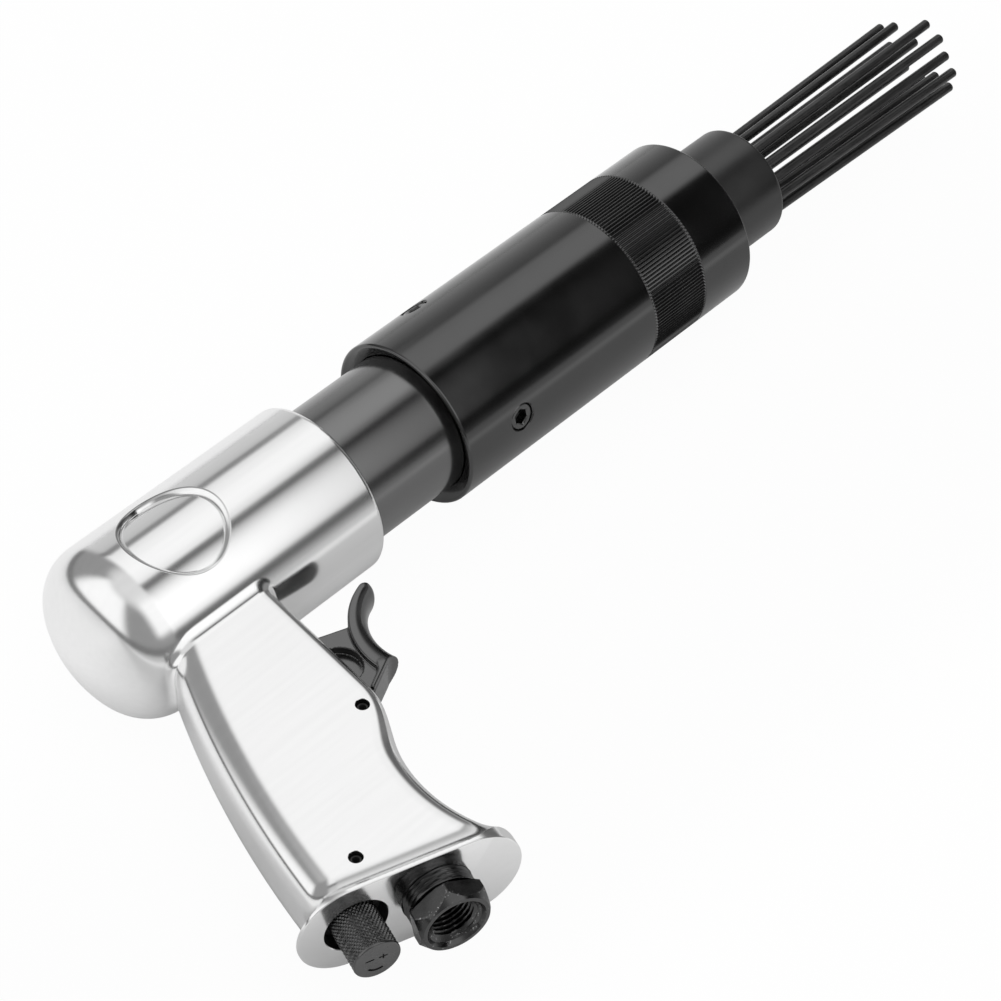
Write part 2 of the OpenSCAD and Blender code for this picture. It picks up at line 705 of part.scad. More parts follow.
// Inlet bush: threaded neck, chamfered hexagon and the bore for the air fitting
module inlet_bush() {
    inner_y = inlet_end_y + inlet_bore_l;
    corner_r = hex_corner - inlet_hex / 2;
    color([0.2, 0.2, 0.2]) lay() grip_frame() difference() {
        union() {
            down_grip(inlet_x, inlet_top_y, inlet_neck_y - 0.5, inlet_d / 2, inlet_d / 2);
            intersection() {
                translate([inlet_x, inlet_neck_y, 0]) rotate([90, 0, 0])
                    rotate([0, 0, 30]) cylinder(h = inlet_hex_l, r = hex_corner, $fn = 6);
                down_grip(inlet_x, inlet_neck_y + 8, inlet_end_y, hex_corner + 11,
                    inlet_hex / 2);
            }
        }
        down_grip(inlet_x, inlet_top_y + 1, inlet_end_y - 1, inlet_bore_d / 2 - 1.2,
            inlet_bore_d / 2 - 1.2);
        down_grip(inlet_x, inner_y, inlet_end_y - 1, inlet_bore_d / 2, inlet_bore_d / 2);
        down_grip(inlet_x, inlet_end_y + (inlet_mouth_d - inlet_bore_d) / 2, inlet_end_y,
            inlet_bore_d / 2, inlet_mouth_d / 2);
        down_grip(inlet_x, inlet_top_y + 1, inlet_top_y - 1.6, inlet_d / 2 - 2.2, inlet_d / 2 - 2.2);
    }
}

// Gasket between the inlet bush and the bottom of its bore
module inlet_gasket() {
    color("black") lay() grip_frame() difference() {
        down_grip(inlet_x, inlet_top_y + gasket_t / 2, inlet_top_y, inlet_d / 2 - 0.3, inlet_d / 2 - 0.3);
        down_grip(inlet_x, inlet_top_y + gasket_t, inlet_top_y - 1, passage_d / 2 + 0.5,
            passage_d / 2 + 0.5);
    }
}

// Strainer disc in the inlet bush
module inlet_screen() {
    screen_r = inlet_d / 2 - 2.2 - seat_gap;
    pitch = screen_r / 2.8;
    color("darkkhaki") lay() grip_frame() difference() {
        down_grip(inlet_x, inlet_top_y - 0.4, inlet_top_y - 1.6, screen_r, screen_r);
        for (k = [0:2]) for (i = [0:max(0, 6 * k - 1)])
            translate([inlet_x + k * pitch * cos(60 / max(k, 1) * i), inlet_top_y,
                k * pitch * sin(60 / max(k, 1) * i)])
                down_grip(0, 0, -3, pitch / 3.2, pitch / 3.2);
    }
}

// Rear sleeve that clamps on the barrel and carries the collar on its front
module rear_sleeve() {
    mouth = 3;
    edge = 1;
    color([0.1, 0.1, 0.1]) lay() difference() {
        union() {
            along_barrel(sleeve_x) cylinder(h = edge, r1 = sleeve_r - edge, r2 = sleeve_r);
            ring(sleeve_x + edge, collar_x, sleeve_r);
            ring(collar_x - 1, collar_x + joint_l, joint_r);
        }
        along_barrel(sleeve_x - 1) cylinder(h = barrel_grip + free_gap + 1, r = sleeve_bore_r);
        along_barrel(sleeve_x - 1) cylinder(h = mouth + 1, r = sleeve_bore_r + 0.9);
        along_barrel(sleeve_x) cylinder(h = sleeve_l + joint_l + 1, r = guide_r);
        for (a = screw_angles) rotate([a, 0, 0]) translate([sleeve_x + screw_back, 0, 0])
            rotate([-90, 0, 0]) cylinder(h = sleeve_r + 1, r = screw_r + seat_gap);
    }
}

// Three socket screws that clamp the sleeve on the barrel
module clamp_screws() {
    foot = barrel_r - screw_groove + seat_gap;
    l = sleeve_r - screw_sink - foot;
    color([0.25, 0.25, 0.25]) lay() for (a = screw_angles)
        rotate([a, 0, 0]) translate([sleeve_x + screw_back, foot, 0]) rotate([-90, 0, 0]) difference() {
            cylinder(h = l, r = screw_r);
            translate([0, 0, l / 2]) cylinder(h = l, r = socket_w / 2 / cos(30), $fn = 6);
        }
}

// Profile of the collar and its nose, from the axis outwards, front end up
module collar_profile() {
    difference() {
        union() {
            square([sleeve_r, collar_l]);
            square([nose_d / 2, collar_l + nose_l - nose_edge_r]);
            square([nose_d / 2 - nose_edge_r, collar_l + nose_l]);
            translate([nose_d / 2 - nose_edge_r, collar_l + nose_l - nose_edge_r])
                circle(r = nose_edge_r);
        }
        translate([0, -1]) square([joint_r + seat_gap, joint_l + 1.5]);
        translate([0, -1]) square([guide_r, spring_end - collar_x + 1]);
        translate([0, -1]) square([nose_bore_r, collar_l + nose_l + 2]);
    }
}

// Front collar with the nose that guides the needles
module front_collar() {
    color([0.1, 0.1, 0.1]) lay() along_barrel(collar_x) rotate_extrude() collar_profile();
}

// Anvil: a shank in the barrel and a flange that drives the needle heads
module anvil() {
    color("slategray") lay() {
        ring(shank_x, anvil_x + 1, shank_d / 2);
        ring(anvil_x, anvil_x + anvil_t, slide_r);
    }
}

// Puts a shape along +Z on the axis of needle i, with its origin at the needle's head
module on_needle(i) {
    tip = needle_tips[i];
    root = bundle_draw * tip;
    side = tip - root;
    translate([heads_x, root[0], root[1]]) rotate([0, -atan2(side[1], needle_l), 0])
        rotate([0, 0, atan2(side[0], norm([needle_l, side[1]]))]) rotate([0, 90, 0]) children();
}

// Needle holder: a disc with a guide hole for each needle
module needle_holder() {
    color("gray") lay() difference() {
        ring(holder_x, holder_x + holder_t, slide_r);
        for (i = [0:len(needle_tips) - 1]) on_needle(i)
            translate([0, 0, 0.1]) cylinder(h = 2 * holder_t, r = needle_d / 2 + 2 * seat_gap);
    }
}

// One needle with its head and a blunt tip
module needle(i) {
    blunt = 0.5;
    color([0.18, 0.18, 0.18]) lay() on_needle(i) {
        cylinder(h = needle_head_t, r = head_r);
        cylinder(h = needle_l - blunt, d = needle_d);
        translate([0, 0, needle_l - blunt])
            cylinder(h = blunt, d1 = needle_d, d2 = needle_d - 2 * blunt);
    }
}

// Return spring round the needles, between the holder and the collar's shoulder
module return_spring() {
    l = spring_end - spring_x - seat_gap;
    echo(str("return spring gap ", coil_gap(8 * return_turns, return_r, return_wire_d, l, return_turns)));
    color("lightgray") lay() along_barrel(spring_x) coil(return_r, return_wire_d, l, return_turns);
}

housing();
barrel();
valve_gasket();
valve_case();
flutter_disc();
port_plate();
valve_dowel();
piston();
trigger();
trigger_pin();
throttle_bush();
throttle_stem();
throttle_seal();
throttle_spring();
regulator_knob();
regulator_ring();
regulator_pin();
inlet_bush();
inlet_gasket();
inlet_screen();
rear_sleeve();
clamp_screws();
front_collar();
anvil();
needle_holder();
return_spring();
needle(0);  // needle_01
needle(1);  // needle_02
needle(2);  // needle_03
needle(3);  // needle_04
needle(4);  // needle_05
needle(5);  // needle_06
needle(6);  // needle_07
needle(7);  // needle_08
needle(8);  // needle_09
needle(9);  // needle_10
needle(10);  // needle_11
needle(11);  // needle_12
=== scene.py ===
import math
import bpy
import bmesh
import numpy as np
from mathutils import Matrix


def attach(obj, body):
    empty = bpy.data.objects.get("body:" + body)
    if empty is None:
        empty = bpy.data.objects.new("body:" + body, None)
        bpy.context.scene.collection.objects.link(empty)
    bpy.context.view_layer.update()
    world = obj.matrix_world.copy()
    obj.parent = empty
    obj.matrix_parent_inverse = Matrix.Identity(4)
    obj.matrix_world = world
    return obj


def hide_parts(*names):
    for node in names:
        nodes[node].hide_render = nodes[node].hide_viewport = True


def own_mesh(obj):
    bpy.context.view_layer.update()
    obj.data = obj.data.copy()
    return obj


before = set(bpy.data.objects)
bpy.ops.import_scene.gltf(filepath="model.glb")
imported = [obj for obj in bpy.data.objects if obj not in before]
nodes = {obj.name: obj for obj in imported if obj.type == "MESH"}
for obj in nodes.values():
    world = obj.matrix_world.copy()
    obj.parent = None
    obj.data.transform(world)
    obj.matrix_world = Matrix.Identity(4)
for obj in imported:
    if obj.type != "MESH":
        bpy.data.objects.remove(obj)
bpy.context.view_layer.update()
print("frame loaded with", len(nodes), "solids")

# The tool's own millimetres start at the middle of the housing's front face:
# x runs to the needles, y up away from the grip, z to the side that shows.
toolOrigin = np.array([-0.074456391, 0.052699494, 0.0256])
gripLean = math.radians(18.9)
gripCos, gripSin = math.cos(gripLean), math.sin(gripLean)
triggerPin = {"across": -26.8, "down": 82.5}
regulatorPin = {"across": -49.2, "down": 124.7}
regulatorAxis, inletAxis = -54.2, -32.45


def toRow(points):
    return np.asarray(points, float) * 0.001 + toolOrigin


# A place in the grip: g across it to the front, u down along it, z to the side
def gripPoint(g, u, z):
    g, u, z = np.broadcast_arrays(np.asarray(g, float), np.asarray(u, float), np.asarray(z, float))
    return np.stack([g * gripCos - u * gripSin, -g * gripSin - u * gripCos, z], -1)


# The way back from the tool's x and y to g and u
def gripPlace(x, y):
    return x * gripCos - y * gripSin, -(x * gripSin + y * gripCos)


# A place on the trigger, measured from its pin, t to the front and v up
def triggerPoint(t, v, z):
    return gripPoint(triggerPin["across"] + np.asarray(t, float), triggerPin["down"] - np.asarray(v, float), z)


def newObject(name, data):
    made = bpy.data.objects.new(name, data)
    bpy.context.scene.collection.objects.link(made)
    return made


# Camera at the photograph's place
camera = {"lens": 123.194, "sensor": 36.0, "reach": 100.0, "place": (-0.508385, -0.412170, 0.701771),
          "turn": (0.750709, -0.015912, -0.811674)}
cameraData = bpy.data.cameras.new("photoCamera")
cameraData.lens, cameraData.sensor_width, cameraData.clip_end = camera["lens"], camera["sensor"], camera["reach"]
cameraObject = newObject("photoCamera", cameraData)
cameraObject.location, cameraObject.rotation_euler = camera["place"], camera["turn"]
bpy.context.scene.camera = cameraObject
print("camera set")


# Mesh helpers

# Quads between neighbours of a grid of rows and columns, joined end to end where wrapped
def gridFaces(rows, columns, wrapRows, wrapColumns):
    r = np.arange(rows if wrapRows else rows - 1)
    c = np.arange(columns if wrapColumns else columns - 1)
    r, c = [a.ravel() for a in np.meshgrid(r, c, indexing="ij")]
    r1, c1 = (r + 1) % rows, (c + 1) % columns
    return np.stack([r * columns + c, r1 * columns + c, r1 * columns + c1, r * columns + c1], 1)


# Puts millimetre points and quads into a mesh, closes its seams and poles and turns its faces outwards
def solidFrom(name, points, faces, sharpAngle=32.0):
    mesh = bpy.data.meshes.new(name)
    mesh.vertices.add(len(points))
    mesh.vertices.foreach_set("co", toRow(points).astype(np.float32).ravel())
    mesh.loops.add(faces.size)
    mesh.loops.foreach_set("vertex_index", faces.astype(np.int32).ravel())
    mesh.polygons.add(len(faces))
    mesh.polygons.foreach_set("loop_start", np.arange(len(faces), dtype=np.int32) * faces.shape[1])
    mesh.update(calc_edges=True)
    body = bmesh.new()
    body.from_mesh(mesh)
    bmesh.ops.remove_doubles(body, verts=body.verts, dist=1e-7)
    bmesh.ops.dissolve_degenerate(body, edges=body.edges, dist=1e-8)
    bmesh.ops.recalc_face_normals(body, faces=body.faces)
    body.to_mesh(mesh)
    body.free()
    piece = newObject(name, mesh)
    shadeSmooth(piece, sharpAngle)
    return piece


# One array of a mesh's own values, in rows of a width
def readFrom(items, label, width=1, kind=np.float32):
    values = np.empty(len(items) * width, kind)
    items.foreach_get(label, values)
    return values.reshape(-1, width) if width > 1 else values


# Places of a mesh's points, or middles of its faces, in the tool's millimetres
def placesOf(mesh, faces=False):
    found = readFrom(mesh.polygons, "center", 3) if faces else readFrom(mesh.vertices, "co", 3)
    return (found - toolOrigin) * 1000.0


# Gives some faces of a piece a second finish
def secondFinish(piece, material, chosen):
    piece.data.materials.append(material)
    piece.data.polygons.foreach_set("material_index", chosen.astype(np.int32))


# Keeps one value for each point, for a finish to read
def keepValue(piece, name, values):
    piece.data.attributes.new(name, "FLOAT", "POINT").data.foreach_set("value", values.astype(np.float32))


def shadeSmooth(piece, sharpAngle=32.0):
    mesh = piece.data
    mesh.polygons.foreach_set("use_smooth", np.ones(len(mesh.polygons), bool))
    mesh.set_sharp_from_angle(angle=math.radians(sharpAngle))
    mesh.update()


def gridSolid(name, points, wrapRows, wrapColumns, sharpAngle=32.0):
    rows, columns = points.shape[:2]
    return solidFrom(name, points.reshape(-1, 3), gridFaces(rows, columns, wrapRows, wrapColumns), sharpAngle)


# Angles of a full turn in even steps
def fullTurn(columns):
    return 2 * np.pi * np.arange(columns) / columns


def unit(vectors):
    return vectors / np.maximum(np.linalg.norm(vectors, axis=1), 1e-9)[:, None]


# Arc from angle a to b, in degrees, as (along, radius) pairs
def arc(along, radius, r, a, b, steps=7):
    t = np.radians(np.linspace(a, b, steps))
    return np.stack([along + r * np.cos(t), radius + r * np.sin(t)], 1)


# One outline from points and arcs, with a guard point close to each end of every long run,
# so that smooth shading stays flat there
def outline(*parts, closed=True, guard=0.12):
    points = np.concatenate([np.atleast_2d(np.asarray(p, float)) for p in parts])
    after = np.roll(points, -1, 0) if closed else points[1:]
    before = points if closed else points[:-1]
    span = after - before
    length = np.hypot(span[:, 0], span[:, 1])
    share = np.where(length > 6 * guard, guard / np.maximum(length, 1e-9), 0.0)[:, None]
    full = np.stack([before, before + span * share, after - span * share], 1).reshape(-1, 2)
    full = full if closed else np.vstack([full, points[-1:]])
    keep = np.ones(len(full), bool)
    keep[1:] = np.hypot(*(full[1:] - full[:-1]).T) > 1e-6
    full = full[keep]
    if closed and np.hypot(*(full[0] - full[-1])) < 1e-6:
        full = full[:-1]
    return full


# Carries an outline of (along, radius) round the barrel's axis
def turned(name, profile, columns=288, closed=True, sharpAngle=32.0):
    turn = fullTurn(columns)
    x = np.repeat(profile[:, :1], columns, 1)
    points = np.stack([x, profile[:, 1:] * np.cos(turn), profile[:, 1:] * np.sin(turn)], -1)
    return gridSolid(name, points, closed, True, sharpAngle)


# Rings of radius rings[row, column] round an axis down the grip, at depths u
def downGrip(axis, depths, rings):
    turn = fullTurn(rings.shape[1])
    return gripPoint(axis + rings * np.cos(turn), depths[:, None], rings * np.sin(turn))


# Rings round a pin that crosses the grip, at sides z
def acrossGrip(pin, sides, radii, columns):
    turn = fullTurn(columns)
    radii = radii[:, None]
    return gripPoint(pin["across"] + radii * np.cos(turn), pin["down"] + radii * np.sin(turn), sides[:, None])


# Radius of a six-sided bar of width w across its flats, with its corners at 30, 90 ... degrees
def hexRadius(turn, w):
    return w / 2 / np.cos(np.mod(turn + np.pi / 6, np.pi / 3) - np.pi / 6)


# Faces of a box whose corners come from a meshgrid of three pairs
boxFaces = np.array([[0, 1, 3, 2], [4, 6, 7, 5], [0, 4, 5, 1], [2, 3, 7, 6], [0, 2, 6, 4], [1, 5, 7, 3]])


# Leaves, joins or takes away other solids from a piece, then throws them away
def carve(piece, cutters, operation="DIFFERENCE"):
    for cutter in cutters:
        modifier = piece.modifiers.new(cutter.name, "BOOLEAN")
        modifier.operation = operation
        modifier.solver = "MANIFOLD"
        modifier.object = cutter
    bpy.context.view_layer.update()
    done = bpy.data.meshes.new_from_object(piece.evaluated_get(bpy.context.evaluated_depsgraph_get()))
    piece.modifiers.clear()
    old = piece.data
    piece.data = done
    bpy.data.meshes.remove(old)
    done.name = piece.name
    for cutter in cutters:
        spare = cutter.data
        bpy.data.objects.remove(cutter)
        bpy.data.meshes.remove(spare)


# Takes the shading normals of a carved piece from its formula wherever a face still follows it
def shadeFrom(piece, normalAt, within=9.0):
    mesh = piece.data
    wanted = normalAt(placesOf(mesh))[readFrom(mesh.loops, "vertex_index", kind=np.int32)]
    corner = readFrom(mesh.corner_normals, "vector", 3)
    sides = readFrom(mesh.polygons, "loop_total", kind=np.int32)
    flat = np.repeat(readFrom(mesh.polygons, "normal", 3), sides, 0)
    follows = (flat * wanted).sum(1) > math.cos(math.radians(within))
    mesh.normals_split_custom_set(np.where(follows[:, None], wanted, corner))


# Distance-like formulas for cast shapes, negative inside

# Two solids where both hold, their shared edge rounded to r; a power over 2 starts the rounding more gently
def roundMax(a, b, r, power=2.0):
    a, b = a + r, b + r
    over = np.maximum(a, 0) ** power + np.maximum(b, 0) ** power
    return np.minimum(np.maximum(a, b), 0) + over ** (1 / power) - r


# Two solids joined, the inside corner between them filled with a fillet of r
def filletUnion(a, b, r):
    return np.maximum(r, np.minimum(a, b)) - np.hypot(np.maximum(r - a, 0), np.maximum(r - b, 0))


# The larger of two values, eased over a width w where they cross
def easeMax(a, b, w):
    h = np.clip(0.5 + 0.5 * (a - b) / w, 0, 1)
    return b + (a - b) * h + w * h * (1 - h)


# Distance to a closed polygon in a plane, negative inside
def polygonField(x, y, corners):
    best = np.full(np.broadcast(x, y).shape, 1e9)
    inside = np.zeros(best.shape, bool)
    for (ax, ay), (bx, by) in zip(corners, corners[1:] + corners[:1]):
        ex, ey = bx - ax, by - ay
        t = np.clip(((x - ax) * ex + (y - ay) * ey) / (ex * ex + ey * ey), 0, 1)
        best = np.minimum(best, np.hypot(x - ax - t * ex, y - ay - t * ey))
        inside ^= ((ay > y) != (by > y)) & (x < ax + ex * (y - ay) / (ey if ey else 1e-9))
    return np.where(inside, -best, best)


# Slope of a formula at points
def slopeOf(field, points, e=0.02):
    x, y, z = points.T
    return np.stack([field(x + e, y, z) - field(x - e, y, z), field(x, y + e, z) - field(x, y - e, z),
                     field(x, y, z + e) - field(x, y, z - e)], 1) / (2 * e)


# Net of quads over a formula's zero surface: one point in each cell that the surface crosses,
# at the middle of its crossings, then pulled onto the surface along the slope
def netSurface(field, low, high, step, pulls=4):
    axes = [np.arange(a, b + step, step) for a, b in zip(low, high)]
    value = np.empty([len(a) for a in axes], np.float32)
    slab = 24
    for i in range(0, len(axes[0]), slab):
        value[i:i + slab] = field(axes[0][i:i + slab, None, None], axes[1][None, :, None], axes[2][None, None, :])
    inside = value < 0
    corners = [(i, j, k) for i in (0, 1) for j in (0, 1) for k in (0, 1)]
    size = [n - 1 for n in value.shape]
    cells = sum(inside[i:i + size[0], j:j + size[1], k:k + size[2]].astype(np.int8) for i, j, k in corners)
    active = np.argwhere((cells > 0) & (cells < 8))
    label = np.full(size, -1, np.int32)
    label[tuple(active.T)] = np.arange(len(active))
    total, hits = np.zeros((len(active), 3)), np.zeros(len(active))
    for a in corners:
        for b in corners:
            if sum(b) - sum(a) == 1 and all(q >= p for p, q in zip(a, b)):
                va, vb = value[tuple((active + a).T)], value[tuple((active + b).T)]
                cross = (va < 0) != (vb < 0)
                t = (va / np.where(cross, va - vb, 1))[:, None]
                total += np.where(cross[:, None], active + np.array(a) + t * (np.array(b) - np.array(a)), 0)
                hits += cross
    points = total / hits[:, None] * step + np.array([a[0] for a in axes])
    for _ in range(pulls):
        g = slopeOf(field, points)
        points -= np.clip(field(*points.T) / np.maximum((g * g).sum(1), 0.05), -step, step)[:, None] * g
    quads = []
    for axis in range(3):
        other = [a for a in range(3) if a != axis]
        ahead = [slice(1, -1)] * 3
        ahead[axis] = slice(0, -1)
        after = list(ahead)
        after[axis] = slice(1, None)
        here, there = inside[tuple(ahead)], inside[tuple(after)]
        edge = np.argwhere(here != there)
        flip = here[tuple(edge.T)]
        base = edge + np.array([0 if a == axis else 1 for a in range(3)])
        ring = []
        for p, q in ((1, 1), (0, 1), (0, 0), (1, 0)):
            cell = base.copy()
            cell[:, other[0]] -= p
            cell[:, other[1]] -= q
            ring.append(label[tuple(cell.T)])
        ring = np.stack(ring, 1)
        turnOver = flip if axis != 1 else ~flip
        quads.append(np.where(turnOver[:, None], ring, ring[:, ::-1]))
    return points, np.concatenate(quads)


# Materials

# Makes a node; inputs names each socket with a value for it or another node's output
def addNode(tree, kind, inputs=None, **settings):
    node = tree.nodes.new(kind)
    for key, value in settings.items():
        setattr(node, key, value)
    for key, value in (inputs or {}).items():
        if isinstance(value, bpy.types.NodeSocket):
            tree.links.new(value, node.inputs[key])
        else:
            node.inputs[key].default_value = value
    return node


# An empty group with named sockets, and the outputs of its input node
def newGroup(name, inputs, outputs):
    group = bpy.data.node_groups.new(name, "ShaderNodeTree")
    for label, value in inputs.items():
        kind = "NodeSocketFloat" if isinstance(value, float) else "NodeSocketVector"
        socket = group.interface.new_socket(name=label, in_out="INPUT", socket_type=kind)
        if value is not None:
            socket.default_value = value
    for label in outputs:
        group.interface.new_socket(name=label, in_out="OUTPUT", socket_type="NodeSocketFloat")
    return group, addNode(group, "NodeGroupInput").outputs


# Small node builders: each takes sockets or numbers and gives its output socket
def mathNode(tree, operation, *values):
    return addNode(tree, "ShaderNodeMath", dict(enumerate(values)), operation=operation).outputs["Value"]


def timesNode(tree, product, *others):
    for other in others:
        product = mathNode(tree, "MULTIPLY", product, other)
    return product


def fadeNode(tree, value, low, high, atLow=0.0, atHigh=1.0, kind="SMOOTHSTEP"):
    ends = (low, high, atLow, atHigh) if low < high else (high, low, atHigh, atLow)
    labels = ("From Min", "From Max", "To Min", "To Max")
    return addNode(tree, "ShaderNodeMapRange", {"Value": value, **dict(zip(labels, ends))},
                   interpolation_type=kind).outputs["Result"]


def mixNode(tree, factor, a, b, kind="FLOAT"):
    return addNode(tree, "ShaderNodeMix", {"Factor": factor, "A": a, "B": b}, data_type=kind).outputs["Result"]


def noiseNode(tree, place, scale, detail):
    return addNode(tree, "ShaderNodeTexNoise", {"Vector": place, "Scale": scale, "Detail": detail}).outputs["Fac"]


def attributeNode(tree, name):
    return addNode(tree, "ShaderNodeAttribute", attribute_name=name).outputs["Fac"]


def emptyTree(owner):
    owner.use_nodes = True
    owner.node_tree.nodes.clear()
    return owner.node_tree


# Cloudy change between two values, with a fine height for a bump
def makeSurfaceGrain():
    group, ins = newGroup("surfaceGrain", {"Vector": None, "Cloud Scale": 60.0, "Fine Scale": 1500.0,
                                           "Low": 0.2, "High": 0.3}, ("Value", "Cloud", "Height"))
    cloud = noiseNode(group, ins["Vector"], ins["Cloud Scale"], 5.0)
    fine = noiseNode(group, ins["Vector"], ins["Fine Scale"], 3.0)
    value = fadeNode(group, cloud, 0.32, 0.68, ins["Low"], ins["High"])
    addNode(group, "NodeGroupOutput", {"Value": value, "Cloud": cloud, "Height": fine})
    return group


# Fine parallel marks: noise drawn out along one direction by a stretch
def makeToolMarks():
    group, ins = newGroup("toolMarks", {"Vector": None, "Stretch": (40.0, 900.0, 900.0), "Low": 0.0, "High": 1.0},
                          ("Marks", "Value"))
    drawn = addNode(group, "ShaderNodeVectorMath", {0: ins["Vector"], 1: ins["Stretch"]}, operation="MULTIPLY")
    marks = noiseNode(group, drawn.outputs["Vector"], 1.0, 4.0)
    value = fadeNode(group, marks, 0.3, 0.7, ins["Low"], ins["High"], "LINEAR")
    addNode(group, "NodeGroupOutput", {"Marks": marks, "Value": value})
    return group


surfaceGrain = makeSurfaceGrain()
toolMarks = makeToolMarks()
# the bare-metal specks are wear; the darkest tone is painted shade
overlay = {"speckScale": 1900.0, "speckReach": 0.14, "bareFrom": (0.72, 0.82), "bareTone": 0.40, "paintedShadeTone": 0.07,
           "marksShare": 0.6}


# One finish: two tones mixed by a cloud, roughness between two values, and a faint bump of grain or marks;
# worn names the attribute that lays specks of bare metal over the tones, and the last argument the one that lays a
# dark tone of painted shade over them
def finish(name, dark, light, rough, metallic, specular=0.5, cloud=60.0, fine=1500.0, bump=0.03, bumpDepth=0.0001,
           stretch=None, worn=None, paintedShade=None):
    o = overlay
    material = bpy.data.materials.new(name)
    tree = emptyTree(material)
    place = addNode(tree, "ShaderNodeTexCoord").outputs["Object"]
    grain = addNode(tree, "ShaderNodeGroup", {"Vector": place, "Cloud Scale": cloud, "Fine Scale": fine,
                                              "Low": rough[0], "High": rough[1]}, node_tree=surfaceGrain).outputs
    share, roughness, height = grain["Cloud"], grain["Value"], grain["Height"]
    if stretch is not None:
        marks = addNode(tree, "ShaderNodeGroup", {"Vector": place, "Stretch": stretch}, node_tree=toolMarks).outputs
        share, height = marks["Value"], marks["Marks"]
        roughness = mathNode(tree, "MULTIPLY_ADD", share, (rough[1] - rough[0]) * o["marksShare"], roughness)
    tone = mixNode(tree, share, (*dark, 1.0), (*light, 1.0), "RGBA")
    if worn is not None:
        # specks of bare metal, thick where the attribute is high
        specks = noiseNode(tree, place, o["speckScale"], 2.0)
        reach = mathNode(tree, "MULTIPLY_ADD", attributeNode(tree, worn), o["speckReach"], specks)
        tone = mixNode(tree, fadeNode(tree, reach, *o["bareFrom"]), tone, (*grey(o["bareTone"]), 1.0), "RGBA")
    # painted shade: a dark tone laid over the colour where the attribute is high
    if paintedShade is not None:
        tone = mixNode(tree, attributeNode(tree, paintedShade), tone, (*grey(o["paintedShadeTone"]), 1.0), "RGBA")
    lift = addNode(tree, "ShaderNodeBump", {"Strength": bump, "Distance": bumpDepth, "Height": height})
    shader = addNode(tree, "ShaderNodeBsdfPrincipled", {
        "Base Color": tone, "Roughness": roughness, "Metallic": metallic, "Specular IOR Level": specular,
        "Normal": lift.outputs["Normal"]})
    addNode(tree, "ShaderNodeOutputMaterial", {"Surface": shader.outputs["BSDF"]})
    return material


def grey(v):
    return (v, v, v)


# the dark tone on the side recess's lip is painted shade
polishedCasting = finish("polishedCasting", grey(0.89), grey(0.915), (0.135, 0.16), 1.0, cloud=30.0, bump=0.014,
                         bumpDepth=0.0002, stretch=(30.0, 600.0, 600.0), paintedShade="lipPaintedShade")
# rough cast skin; its near-black tone is painted shade inside the bores, slot and recesses
castSkinAndShade = finish("castSkinAndShade", grey(0.06), grey(0.11), (0.45, 0.60), 1.0, cloud=300.0, fine=1600.0, bump=0.25)
barrelSteel = finish("barrelSteel", grey(0.205), grey(0.225), (0.18, 0.22), 1.0, cloud=40.0, bump=0.004)
blackSleeve = finish("blackSleeve", grey(0.105), grey(0.120), (0.12, 0.15), 1.0, cloud=70.0, bump=0.004)
dullNose = finish("dullNose", grey(0.085), grey(0.100), (0.31, 0.36), 1.0, cloud=70.0, bump=0.01)
blackOxide = finish("blackOxide", grey(0.11), grey(0.16), (0.22, 0.30), 1.0, cloud=260.0, fine=1600.0, bump=0.06)
wornOxide = finish("wornOxide", grey(0.065), grey(0.105), (0.18, 0.26), 1.0, cloud=260.0, fine=1600.0, bump=0.06,
                   worn="wear")
needleOxide = finish("needleOxide", grey(0.06), grey(0.10), (0.28, 0.38), 1.0, cloud=200.0, bump=0.06,
                     stretch=(60.0, 900.0, 900.0))
glossBlack = finish("glossBlack", grey(0.14), grey(0.165), (0.18, 0.24), 1.0, cloud=150.0, bump=0.02)
pinSteel = finish("pinSteel", grey(0.03), grey(0.06), (0.35, 0.45), 0.6, cloud=300.0, bump=0.08)
plainSteel = finish("plainSteel", grey(0.42), grey(0.52), (0.28, 0.36), 1.0, cloud=90.0, bump=0.05,
                    stretch=(900.0, 60.0, 60.0))
springSteel = finish("springSteel", grey(0.30), grey(0.40), (0.30, 0.40), 1.0, cloud=200.0, bump=0.06)
brassTone = finish("brassTone", (0.50, 0.34, 0.13), (0.60, 0.43, 0.18), (0.28, 0.36), 1.0, cloud=120.0, bump=0.05)
rubberBlack = finish("rubberBlack", grey(0.015), grey(0.025), (0.55, 0.70), 0.0, specular=0.35, cloud=200.0,
                     bump=0.15)
print("finishes made")


def finishPiece(piece, material, body, slot, *stands):
    piece.data.materials.clear()
    piece.data.materials.append(material)
    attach(piece, body)
    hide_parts(*stands)
    print(piece.name, "made,", len(piece.data.polygons), "faces")


# Housing: a domed cylinder, the raked grip and its flared foot as one casting
casting = {"radius": 25.59, "domeCorner": 14.0, "domeCap": 38.0, "length": 86.79, "frontEdge": 1.1,
           "gripHalf": 12.0, "backEdge": 8.5, "frontEdges": (4.2, 7.5), "strap": (243.1, 94.0, 310.0),
           "hollow": (19.1, 101.7, 43.0), "frontLean": 12.5, "frontCover": 6.3, "crotch": 2.2, "flare": 10.5,
           "frontFall": (95.0, 0.6), "frontEase": 5.0, "edgesFrom": (80.0, 20.0), "edgePower": 2.5, "gripTop": 15.0,
           "flangeTop": 134.3, "flangeEnd": 135.1, "flangeRadius": 14.5, "flangeSpan": (-55.5, -23.5),
           "footFillet": 1.5, "flareDrop": 3.6, "footFrom": 112.0, "footTo": 137.0, "footSpare": 2.5, "rimEdge": 0.3,
           "recessAt": -51.6, "recessRadius": 13.5, "recessDepth": 1.6, "recessLip": 1.5,
           "step": 0.61, "boxLow": (-117.0, -131.0, -27.6), "boxHigh": (1.2, 27.6, 27.6)}
casting["capFrom"] = casting["length"] - casting["domeCap"]
casting["domeFrom"] = casting["capFrom"] + math.sqrt((casting["domeCap"] - casting["domeCorner"]) ** 2
                                                     - (casting["radius"] - casting["domeCorner"]) ** 2)


